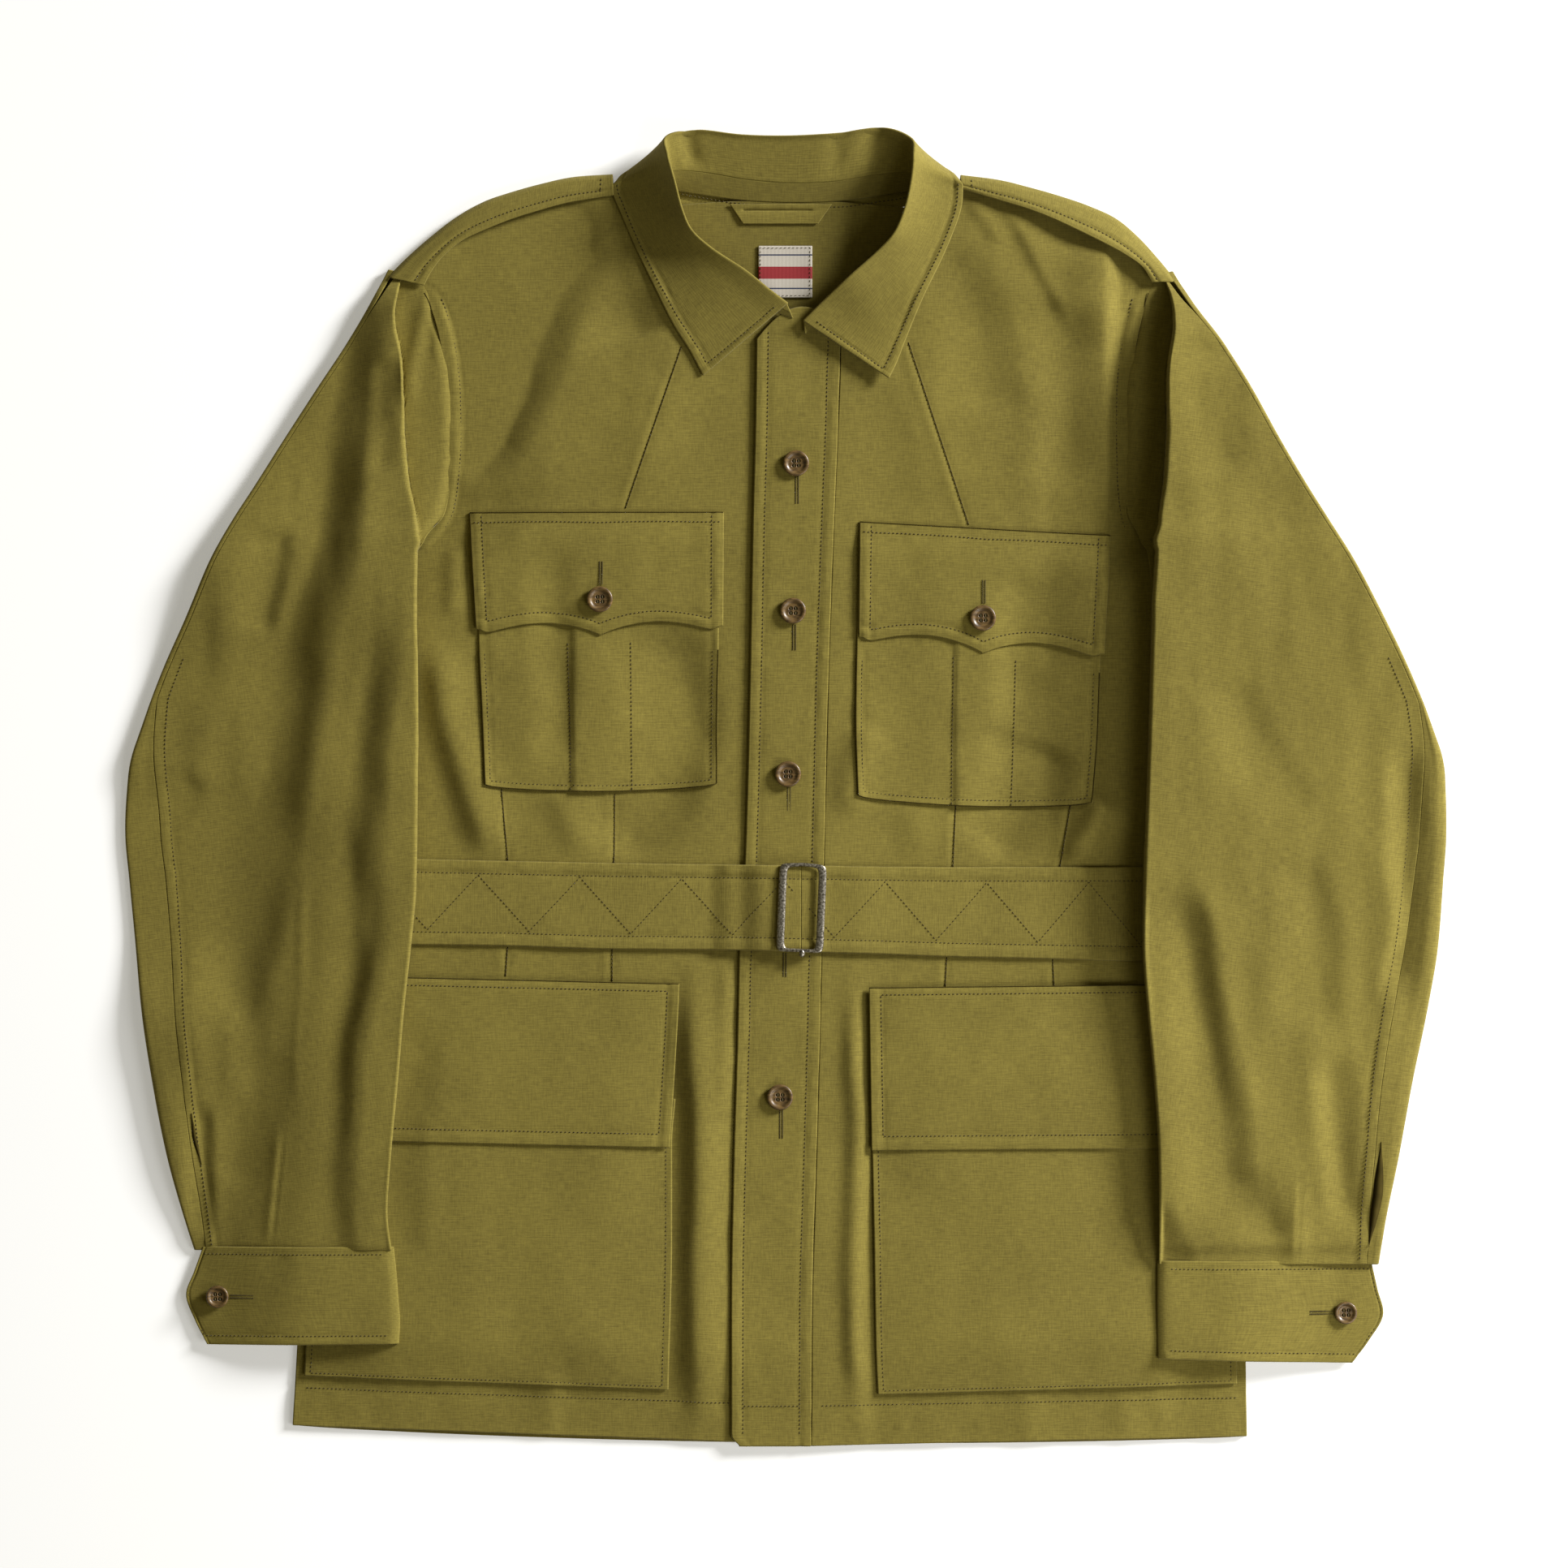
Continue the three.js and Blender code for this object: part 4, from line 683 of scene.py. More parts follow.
def besideSleeve(x, y):
    """The left front climbs toward the sleeve that lies against it, and falls again before the armhole."""
    climb = 4.4 * ease((x - 150) / 38) * ease((y + 48) / 40) * (1 - ease((y - 300) / 30))
    return climb * (1 - ease((x - 184) / 12) * ease((y - 118) / 24))


def frontMiddle(x, y):
    """The back's height, one wall and a gap, then a loft that eases away at the edges, and creases."""
    fromSide = ease(sideDistance(x, y) / bodyShape["edgeReach"])
    fromHem = ease((y - hemAt(x)) / bodyShape["edgeReach"])
    fromShoulder = ease((lookUp(shoulderEdge, "x", x, "y") - y) / bodyShape["edgeReach"])
    lift = fromSide * fromHem * fromShoulder
    pressed = ease((np.abs(y + 70) - 25) / 9)
    nearSide = 0.35 + 0.65 * ease(sideDistance(x, y) / 20)
    wx, wy = x + 3 * softNoise(x, y, 40, 5), y + 4 * softNoise(x, y, 44, 6)
    folds = creaseHeight(bodyCreases, wx, wy) + stepHeight(bodySteps, wx, wy)
    folds = folds * pressed * nearSide * (0.5 + 0.5 * fromHem)
    low = backMiddle(x, y) + wallSizes["panel"] + wallSizes["panelGap"]
    loft = bodyShape["loft"] * lift + folds + (0.35 + looseCloth(x, y)) * ease(sideDistance(x, y) / 12)
    return low + besideSleeve(x, y) + np.where(loft > 0.3, loft, 0.3 * np.exp(np.minimum(loft, 0.3) / 0.3 - 1))


def placketStep(x, y):
    return bodyShape["placketStep"] * (1 - ease((x - placketRightAt(y)) / 42))


def frontTop(x, y):
    """Upper side of whichever front lies at that place."""
    onLeft = x > placketRightAt(y) - 0.5
    return frontMiddle(x, y) + wallSizes["panel"] / 2 + np.where(onLeft, placketStep(x, y), 0.0)


def rowsSurface(rows, names, height, overlap=0.0):
    """Each row runs straight between two outline points and bows toward the shoulder edge; above the underarm
    it reaches out a little further, over the sleeve's seam allowance."""
    place = np.linspace(0, 1, len(rows["bow"]))
    table = dict(rows, at=place)

    def surface(u, v):
        x0, y0, x1, y1 = [lookUp(table, "at", v, name) for name in names]
        bow = lookUp(table, "at", v, "bow")
        x = mix(x0 + np.sign(x0) * overlap * ease((y0 - 138) / 8), x1, u)
        y = mix(y0, y1, u) + bow * np.sin(np.pi * np.clip(u, 0, 1)) ** 0.75
        return np.stack([x, y, height(x, y)], -1)
    return surface


frontNames = ("outerX", "outerY", "innerX", "innerY")

# Seams and darts pressed into the fronts: x1, y1, x2, y2
pressedSeams = {
    "right": [(-59.2, 254.5, -91.6, 161.2), (-163.1, -0.9, -159.5, -42), (-97.8, -3.8, -98.2, -44),
              (-159.6, -92, -160.8, -109), (-99.2, -93, -99.2, -112)],
    "left": [(71.9, 257.1, 106.7, 151.8), (99.2, -9.9, 97.6, -46), (165.4, -9.9, 159.3, -46),
             (94, -98, 93.2, -115), (155.1, -99, 156, -115)],
}
hemTurn = {"depth": 24.0, "groove": 0.3, "roll": 0.3}
armhole = {"stitch": 6.6, "band": 0.8, "overlap": 1.3}


def seamRelief(seams, x, y):
    """A narrow pressed line with a low ridge beside it for each seam."""
    relief = np.zeros_like(x)
    for x1, y1, x2, y2 in seams:
        dx, dy = x2 - x1, y2 - y1
        length = math.hypot(dx, dy)
        along = ((x - x1) * dx + (y - y1) * dy) / length ** 2
        across = ((x - x1) * dy - (y - y1) * dx) / length
        there = ease(along * 12 + 0.5) * ease((1 - along) * 12 + 0.5)
        relief = relief + there * (0.28 * bell(across - 3.4, 2.6) - 0.42 * bell(across, 1.3))
    return relief


def stitchedEdge(distance, depth, along, seed):
    """Beside a stitched edge: a rolled band, then a groove at the stitch line, both uneven along the edge."""
    pucker = 1 + 0.7 * softNoise(along, distance * 0 + seed * 3.1, 7.5, seed)
    return pucker * (0.3 * bell(distance - depth * 0.5, depth * 0.32) - 0.34 * bell(distance - depth, 1.5))


def frontSurface(side):
    rows = frontRows[side]
    raised = frontMiddle if side == "right" else (lambda x, y: frontMiddle(x, y) + placketStep(x, y))

    def height(x, y):
        fromHem = y - hemAt(x)
        # the way in from the armhole counts only above the underarm
        inArmhole = sideDistance(x, y) + 400 * (1 - ease((y - 128) / 12))
        relief = seamRelief(pressedSeams[side], x, y)
        relief = relief + stitchedEdge(fromHem, hemTurn["depth"], x, 3)
        relief = relief + stitchedEdge(inArmhole, armhole["stitch"], y, 4)
        pucker = 1 + 0.5 * softNoise(x * 0, y, 6, 7)
        band = armhole["band"] * (1 - ease((inArmhole - armhole["stitch"] + 1.4) / 2.6)) * (1 - ease((y - 274) / 12)) * pucker
        return raised(x, y) + relief + band
    return rowsSurface(rows, frontNames, height, armhole["overlap"])


fronts = {side: frontSurface(side) for side in ("right", "left")}
frontLines = {"right": (-1, 0), "left": (1, 0)}


def makeBody():
    backSurface = rowsSurface(backRows, ("leftX", "leftY", "rightX", "rightY"), backMiddle)
    back = clothShell("backPanel", backSurface, spread(90, 540), spread(140, 700), wallSizes["panel"])
    finishPiece(back, neckShadeCloth, ["back"])
    # the left front's grid is mirrored, so that its faces point up as well
    for side, lines in (("right", spread(126, 300)), ("left", spread(112, 250)[::-1])):
        piece = clothShell("frontPanel" + side.capitalize(), fronts[side], lines, spread(236, 700), wallSizes["panel"])
        finishPiece(piece, bodyCloth, ["front_" + side])


makeBody()
print("body panels made")

# Placket: a folded band of the left front, with a row of stitches near each edge

placketShape = {"bottom": -380.4, "top": 262.0, "neckRise": 15.0, "stitch": 6.4}


def placketMiddle(x, y):
    return frontMiddle(x, y) + wallSizes["panel"] / 2 + wallSizes["seamGap"] + wallSizes["placket"] / 2 + 0.3


def placketSurface(u, v):
    neck = placketShape["neckRise"] * (1 - (2 * u - 1.1) ** 2)
    y = mix(placketShape["bottom"], placketShape["top"] + neck * ease((v - 0.85) / 0.15), v)
    corner = 4.5 * (1 - ease(v * 631 / 7)) ** 2
    left = lookUp(placketEdges, "y", y, "left") + corner
    right = placketRightAt(y) - wallSizes["seamGap"]
    x = mix(left, right, u)
    width = right - left
    relief = stitchedEdge(u * width, placketShape["stitch"], y, 8)
    relief = relief + stitchedEdge((1 - u) * width, placketShape["stitch"], y, 9)
    sag = 0.3 * softNoise(x, y, 20, 14)
    return np.stack([x, y, placketMiddle(np.minimum(x, right - 4), y) + relief * 0.8 + sag], -1)


def makePlacket():
    piece = clothShell("frontPlacket", placketSurface, spread(30, 45), spread(300, 631), wallSizes["placket"])
    finishPiece(piece, bodyCloth, ["placket"])


makePlacket()
print("placket made")

# Sleeves: two pieces each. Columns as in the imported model: silhouette, armhole or inner fold, how far the
# back seam lies inside the silhouette, heights of the two layers at the inner end, and the ridge beside it.

sleeveRows = {
    "right": columns("outerX outerY innerX innerY seamIn under top ridge", [
        (-229, 299.4, -205.4, 293.6, 0, 0.6, 3.9, 1), (-240, 278, -203.6, 274, 0, 0.6, 3.9, 3.4),
        (-254, 254.5, -197.8, 256, 0, 0.6, 3.7, 4.2), (-270.2, 230, -194.6, 230, 0, 0.6, 3.7, 4.2),
        (-289, 201, -193.9, 204, 0, 0.6, 3.7, 4), (-306, 174, -196, 178, 0, 1.5, 4.3, 3.6),
        (-318.5, 154.5, -200, 158.4, 0, 3.4, 5.6, 3.2), (-331, 132, -210.6, 141.5, 0, 6, 7.6, 3),
        (-345.6, 98, -211.4, 104, 0, 6.4, 8, 2.6), (-359.5, 67, -210.6, 70, 0.2, 6.4, 8, 2.4),
        (-370.5, 37, -210.4, 38, 6, 6.6, 8.2, 2.4), (-378.5, 9, -210.8, 9, 14, 7.4, 9, 2.4),
        (-380.6, -24, -211, -24, 19, 8.2, 9.8, 2.4), (-378, -55, -211.4, -55, 19.8, 9, 10.6, 2.4),
        (-374.6, -90, -214.3, -90, 19.4, 10.2, 11.8, 2.4), (-370.8, -128, -218.4, -128, 18.2, 11.3, 12.9, 2.4),
        (-364.6, -170, -222, -170, 16.5, 11.3, 12.9, 2.4), (-356.5, -212, -226, -212, 13.5, 11, 12.6, 2.4),
        (-348, -244, -228.2, -244, 10, 9.8, 11.4, 2.4), (-341, -267.2, -226, -266.4, 6, 9, 10.6, 2.4)]),
    "left": columns("outerX outerY innerX innerY seamIn under top ridge", [
        (225, 298.4, 208.6, 294, 0, 0.6, 3.9, 1), (237, 278, 207, 274, 0, 0.6, 3.9, 3.4),
        (253, 255.5, 203.3, 256, 0, 0.6, 3.7, 4.2), (268.4, 230.3, 199.4, 230, 0, 0.6, 3.7, 4.2),
        (284.5, 201, 199.3, 204, 0, 0.6, 3.7, 4), (300.3, 174, 200.2, 178, 0, 1.5, 4.3, 3.6),
        (312.5, 154.5, 202.2, 158.4, 0, 3.4, 5.6, 3.2), (326.5, 132, 209.4, 141.5, 0, 6, 7.6, 3),
        (344.4, 98, 211.2, 104, 0, 6.4, 8, 2.6), (359.5, 67, 210.4, 70, 0.2, 6.4, 8, 2.4),
        (372, 37, 209.6, 38, 5, 6.6, 8.2, 2.4), (380, 9, 208.6, 9, 11.5, 7.4, 9, 2.4),
        (381, -24, 207.4, -24, 14.5, 8.2, 9.8, 2.4), (379.1, -55, 206.4, -55, 16, 9, 10.6, 2.4),
        (376.5, -90, 206, -90, 18, 10.2, 11.8, 2.4), (370.5, -128, 208.7, -128, 19, 11.3, 12.9, 2.4),
        (362, -170, 212.6, -170, 17, 11.3, 12.9, 2.4), (354.5, -212, 215.2, -212, 13.5, 11, 12.6, 2.4),
        (347.2, -250, 215.7, -250, 9, 9.8, 11.4, 2.4), (343.6, -275.2, 215.8, -274.4, 6, 9, 10.6, 2.4)]),
}
sleeveSteps = {
    "right": [
        (((-224, 345), (-236, 285), (-243, 235), (-249, 200), (-253, 165), (-257, 138), (-266, 108), (-273, 80),
          (-276, 50), (-281, 15), (-289, -20), (-297, -62), (-304, -110), (-308, -150)), 32, 8.4, 900),
        (((-224, 120), (-231, 60), (-238, 10), (-240, -30), (-237, -62), (-238, -90), (-245, -125), (-251, -160),
          (-255, -200), (-258, -238), (-256, -340)), 25, 5.2, 900),
        (((-268, 10), (-275, -60), (-281, -130), (-287, -190), (-290, -340)), 70, 6.2, 900),
        (((-238, -84), (-246, -125), (-252, -165), (-256, -215)), 12, 1.8, 20),
        (((-283, -150), (-287, -185), (-296, -205), (-312, -236)), 12, 2.0, 30),
        (((-286, 152), (-290, 120), (-297, 84)), 10, 2.0, 24), (((-222, 250), (-228, 215), (-226, 180)), 12, 1.4, 10),
        (((-329, -182), (-333, -215), (-333, -262)), 9, 2.4, 12), (((-334, 6), (-352, -18), (-368, -50)), 12, 1.8, 14),
    ],
    "left": [
        (((226, -46), (238, -84), (247, -122), (255, -160), (263, -200), (268, -240), (272, -262)), 21, 4.2, 34),
        (((264, 260), (262, 216), (266, 180)), 26, 1.8, 30), (((262, 70), (272, 44), (290, 10), (308, -14)), 18, 1.4, 26),
        (((362, 30), (365, -20), (365, -70), (360, -130)), 13, 3.8, 12),
        (((306, -36), (315, -90), (319, -150)), 18, 2.0, 24), (((322, -150), (328, -205), (336, -256)), 16, 2.4, 14),
        (((214, -240), (226, -264), (236, -288)), 18, 3.6, 16), (((276, -214), (288, -262)), 16, 1.8, 20),
        (((290, 190), (300, 140), (312, 90)), 30, 1.6, 30),
    ],
}
sleeveCreases = {
    "right": [
        (((-277, -40), (-278, -100), (-281, -160), (-277, -196)), 2.2, 3.4, 0.5),
        (((-318, -120), (-318, -190)), 8, 14, 0.8), (((-306, 120), (-322, 60), (-330, 10)), 14, 26, 1.0),
        (((-340, -40), (-342, -120), (-338, -180)), 12, 16, 1.0), (((-290, -246), (-318, -264)), 5, 8, 0.8),
        (((-206, 292), (-211, 268), (-217, 238), (-219, 214)), 5, 5, 1.7), (((-202, 284), (-203, 244)), 3, 5, 0.8),
    ],
    "left": [
        (((240, -44), (247, -100), (256, -160), (262, -204)), 7, 12, 1.2), (((300, -120), (306, -206)), 10, 14, 0.8),
        (((206, 284), (208, 262), (211, 238)), 5, 5, 1.6), (((344, -20), (350, -100)), 10, 12, 0.9),
        (((298, -234), (300, -276)), 8, 8, 0.8), (((236, 60), (243, 20), (246, -20)), 12, 16, 0.8),
    ],
}
# How far the puffed part starts from the armhole seam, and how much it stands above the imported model
sleevePuff = {
    "right": columns("y start rise", [
        (300, 12, 0), (294, 15, 1), (287, 17, 5), (274, 21, 8.5), (256, 24.5, 10), (230, 25.5, 10.5), (204, 24, 10.5),
        (178, 19.5, 10), (158, 12, 9.5), (141, 1.5, 9), (132, 0, 9), (104, 0, 8.6), (38, 0, 8), (-24, 0, 7),
        (-90, 0, 6), (-128, 0, 5), (-170, 0, 4), (-212, 0, 3), (-244, 0, 2), (-273, 0, 0.6)]),
    "left": columns("y start rise", [
        (300, 8, 0), (294, 10, 1), (287, 13, 6.5), (274, 17, 13), (256, 20, 19), (230, 21.5, 22), (204, 20, 22.5),
        (178, 17.5, 22.5), (158, 13.5, 21), (141, 5, 20), (120, 1.5, 19.6), (104, 0, 19.4), (38, 0, 19), (-24, 0, 16.5),
        (-90, 0, 12), (-128, 0, 8.5), (-170, 0, 7.6), (-212, 0, 7), (-244, 0, 5.4), (-278, 0, 1.2)]),
}
sleeveTucks = {"right": ((-288, -194), (-296, -266)), "left": ((297.5, -222), (296, -276))}
sleeveShape = {"tuckIn": 1.6, "underFront": 3.4, "cuffTuck": 1.5, "edgeRound": 1.0, "overhang": 1.3, "rim": 2.6,
               "tilt": {"right": 0.0, "left": 9.0},
               "hollow": 2.4, "hang": 44.0, "slope": 72.0, "roll": 0.9, "hiddenSeam": 2.4, "seamStitch": 6.6}
outward = {"right": -1.0, "left": 1.0}


def beyondBody(side, x, y, inward):
    outline = bodyRight if side == "right" else bodyLeft
    reach = np.abs(x) - np.abs(lookUp(outline, "y", y, "x"))
    return np.where(y > 141, inward, mix(reach, inward, ease((y - 112) / 29)))


def sleeveRowAt(side, v):
    rows = sleeveRows[side]
    table = dict(rows, at=np.linspace(0, 1, len(rows["under"])))
    return {name: lookUp(table, "at", v, name) for name in rows}


def sleevePlace(row, inward):
    width = np.abs(row["outerX"] - row["innerX"])
    share = inward / width
    return mix(row["innerX"], row["outerX"], share), mix(row["innerY"], row["outerY"], share), width


def sleeveTopPoint(side, row, inward):
    """The lower layer's slope, carried out further, plus a hollow that is rounded down at both edges. Near the
    shoulder a low strip beside the seam comes first, then the puffed part steps up steeply."""
    x, y, width = sleevePlace(row, inward)
    x = x - outward[side] * sleeveShape["underFront"] * ease((y - 135) / 8) * (1 - ease(inward / 12))
    beyond = beyondBody(side, x, y, inward)
    slope = 1 - ease((beyond + 10) / sleeveShape["slope"])
    settled = mix(wallSizes["panel"] / 2, row["under"], slope) + wallSizes["panel"] + wallSizes["seamGap"]
    start, rise = lookUp(sleevePuff[side], "y", y, "start"), lookUp(sleevePuff[side], "y", y, "rise")
    start = start + 1.5 * softNoise(x * 0, y, 22, 27) * ease(start / 8)
    # a low strip beside the armhole seam, then the fold's crisp edge, then a level top that bends down outside
    strip = ease(start / 8) * (1 - ease((inward - start) / 3))
    edge = np.sqrt(1 - (1 - np.clip((inward - start) / sleeveShape["edgeRound"], 0, 1)) ** 2)
    x = x + outward[side] * sleeveShape["overhang"] * (1 - edge) * bell(np.minimum(inward - start, 0), 3)
    outerRound = (1 - (1 - np.clip((width - inward) / sleeveShape["rim"], 0, 1)) ** 4) ** 0.25
    share = np.clip((inward - start) / (width - start), 0, 1)
    top = row["under"] + wallSizes["panel"] + wallSizes["seamGap"] + sleeveShape["hollow"] + rise
    flat = settled + 1.6 * ease(inward / 4) * strip
    tilt = sleeveShape["tilt"][side] * (0.25 + 0.75 * ease((100 - y) / 90))
    z = mix(flat, top - np.minimum(tilt, top * 0.5) * share, edge)
    wx, wy = x + 3 * softNoise(x, y, 36, 21), y + 4 * softNoise(x, y, 44, 22)
    calm = ease((width - inward) / 9)
    creases = (stepHeight(sleeveSteps[side], wx, wy) + creaseHeight(sleeveCreases[side], wx, wy)
               + 0.55 * softNoise(x, y * 0.2, 14, 23) + 0.12 * softNoise(x, y * 0.4, 6, 24)) * ease(inward / 3)
    tuck = creaseHeight([(sleeveTucks[side], 1.4, 1.4, -1.0), (sleeveTucks[side], 5, 2, 0.8)], x, y)
    tucked = sleeveShape["tuckIn"] * ease((y - 141) / 10) * (1 - ease(inward / 6))
    tucked = tucked + sleeveShape["cuffTuck"] * (1 - ease((y + 270) / 7))
    # the lower layer is never reached, and the outer edge rounds down to it
    rest = settled + 1.0
    z = rest + np.logaddexp(0, (z + creases - rest) / 1.2) * 1.2
    z = mix(settled, z, outerRound) + (tuck * calm) - tucked
    return np.stack([x, y, z], -1)


def sleeveUnderPoint(side, row, inward):
    """On the table outside, and up over the body's side edge inside."""
    x, y, _ = sleevePlace(row, inward)
    climb = 1 - ease((beyondBody(side, x, y, inward) - 1.5) / sleeveShape["hang"])
    return np.stack([x, y, mix(wallSizes["panel"] / 2, row["under"], climb)], -1)


def seamInset(row):
    return np.maximum(sleeveShape["hiddenSeam"], row["seamIn"]) + sleeveShape["roll"]


def foldColumns(even, start):
    """Evenly spaced columns, drawn together on both sides of the fold's edge."""
    pull = lambda d: d * (1 - 0.8 * np.exp(-(d / 7) ** 2))
    outside = start + pull(np.maximum(even - start, 0))
    inside = start * (1 - pull(np.maximum(start - even, 0)) / np.maximum(pull(start), 0.01))
    return np.where(even > start, outside, inside)


def sleeveTopSurface(side):
    def surface(u, v):
        row = sleeveRowAt(side, v)
        width = np.abs(row["outerX"] - row["innerX"])
        inward = foldColumns(u * (width - seamInset(row)), lookUp(sleevePuff[side], "y", row["innerY"], "start"))
        points = sleeveTopPoint(side, row, inward)
        fromSeam = (1 - u) * (width - seamInset(row))
        y = points[..., 1]
        low = ease((40 - y) / 40)
        points[..., 2] += low * stitchedEdge(fromSeam, sleeveShape["seamStitch"], y, 25)
        return points
    return surface


def sleeveUnderSurface(side):
    """Control lines across the sleeve: from the back seam on top, round the silhouette, and back underneath."""
    v = np.linspace(0, 1, 60)
    row = sleeveRowAt(side, v)
    width = np.abs(row["outerX"] - row["innerX"])
    start = width - seamInset(row) + 0.5
    lines = [sleeveTopPoint(side, row, mix(start, width - 0.5, t)) for t in (0, 0.35, 0.7, 1)]
    edge = sleeveUnderPoint(side, row, width - 0.8)
    rim = (lines[-1] + edge) / 2
    rim[:, 0] = row["outerX"] - outward[side] * wallSizes["panel"] / 2
    below = [sleeveUnderPoint(side, row, mix(1.0, width, t)) for t in (0.97, 0.85, 0.7, 0.55, 0.4, 0.25, 0.12, 0)]
    control = np.stack(lines + [rim] + below, 1)
    return lambda u, w: splineGrid(control, u, w)


def sleeveWeave(side):
    tilt = -0.13 * outward[side]

    def weave(u, v, middle):
        x, y = middle[..., 0], middle[..., 1]
        return np.stack([x * math.cos(tilt) + y * math.sin(tilt), y * math.cos(tilt) - x * math.sin(tilt)], -1)
    return weave


sleeveTops = {side: sleeveTopSurface(side) for side in ("right", "left")}


def makeSleeves():
    for side in ("right", "left"):
        name = side.capitalize()
        # rows run down the sleeve, so the columns are turned on one side to keep the faces pointing up
        across = spread(84, 150) ** 1.25
        top = clothShell("sleeveTop" + name, sleeveTops[side], across if side == "right" else across[::-1],
                         spread(210, 560), wallSizes["panel"], sleeveWeave(side))
        finishPiece(top, bodyCloth, ["sleeve_top_" + side])
        under = clothShell("sleeveUnder" + name, sleeveUnderSurface(side), across[::-1] if side == "left" else across,
                           spread(150, 560), wallSizes["panel"], sleeveWeave(side))
        finishPiece(under, bodyCloth, ["sleeve_under_" + side])


makeSleeves()
print("sleeves made")

# Cuffs: a band folded round the wrist, its outer end pointed

cuffRows = {
    "right": columns("outerX outerY innerX innerY", [
        (-335.8, -265.6, -225.6, -264.9), (-341, -280, -224, -280), (-345.6, -293.5, -223, -293.5),
        (-340.4, -308, -222, -307.5), (-333.4, -321.6, -222.6, -320.4)]),
    "left": columns("outerX outerY innerX innerY", [
        (339.4, -273.8, 215.8, -273), (343, -290, 215.7, -289), (346.3, -305, 215.7, -302),
        (338.5, -319, 215.9, -316), (328.6, -332.4, 216.2, -329)]),
}
cuffShape = {"tab": 14.0, "inside": 9.0, "puff": 2.2, "stitch": 4.8}


def cuffTopHeight(side, x, y, inward, width):
    slope = 1 - ease((beyondBody(side, x, y, inward) + 10) / sleeveShape["slope"])
    base = mix(wallSizes["panel"] / 2, cuffShape["inside"], slope) + wallSizes["panel"] + wallSizes["seamGap"]
    rounded = np.sqrt(1 - (1 - np.clip(inward / 8, 0, 1)) ** 2)
    return base + cuffShape["puff"] * rounded * ease((width - inward + 20) / 40)


def cuffUnderHeight(side, x, y, inward):
    climb = 1 - ease((beyondBody(side, x, y, inward) - 1.5) / sleeveShape["hang"])
    return mix(wallSizes["panel"] / 2, cuffShape["inside"], climb)


def cuffSurface(side):
    rows = cuffRows[side]
    width = np.abs(rows["outerX"] - rows["innerX"])

    def place(inward):
        share = inward / width
        return mix(rows["innerX"], rows["outerX"], share), mix(rows["innerY"], rows["outerY"], share)
    lines = []
    for t in (1, 0.97, 0.9, 0.8, 0.65, 0.5, 0.35, 0.22, 0.12, 0.05, 0.02):
        x, y = place(t * width)
        lines.append(np.stack([x, y, cuffTopHeight(side, x, y, t * width, width)], -1))
    below = []
    for t in (0.02, 0.05, 0.12, 0.25, 0.4, 0.55, 0.7, 0.85):
        x, y = place(t * (width - cuffShape["tab"]))
        below.append(np.stack([x, y, cuffUnderHeight(side, x, y, t * (width - cuffShape["tab"]))], -1))
    rim = (lines[-1] + below[0]) / 2
    rim[:, 0] = rows["innerX"] - outward[side] * 0.1
    control = np.stack(lines + [rim] + below, 1)

    def surface(u, v):
        points = splineGrid(control, u, v)
        x, y = points[..., 0], points[..., 1]
        onTop = 1 - ease((u - 0.48) / 0.04)
        height = np.interp(v, [0, 1], [0, 54])
        relief = stitchedEdge(54 - height, cuffShape["stitch"], x, 31) + 0.7 * stitchedEdge(height, 3.0, x, 32)
        relief = relief + stitchedEdge(u * 230, cuffShape["stitch"], y, 33)
        points[..., 2] += onTop * (relief + 0.25 * softNoise(x, y, 15, 34))
        return points
    return surface


cuffs = {side: cuffSurface(side) for side in ("right", "left")}


def makeCuffs():
    for side in ("right", "left"):
        # rows run down the cuff; the outline runs out from the tab, so only one side is turned
        lines = spread(100, 230)
        piece = clothShell("cuff" + side.capitalize(), cuffs[side], lines[::-1] if side == "right" else lines,
                           spread(30, 54), wallSizes["panel"], lambda u, v, m: np.stack([u * 230, v * 54], -1))
        finishPiece(piece, bodyCloth, ["cuff_" + side])


makeCuffs()
print("cuffs made")

# Collar: neck seam N, roll line R and outer edge E in sections from the right front end round to the left

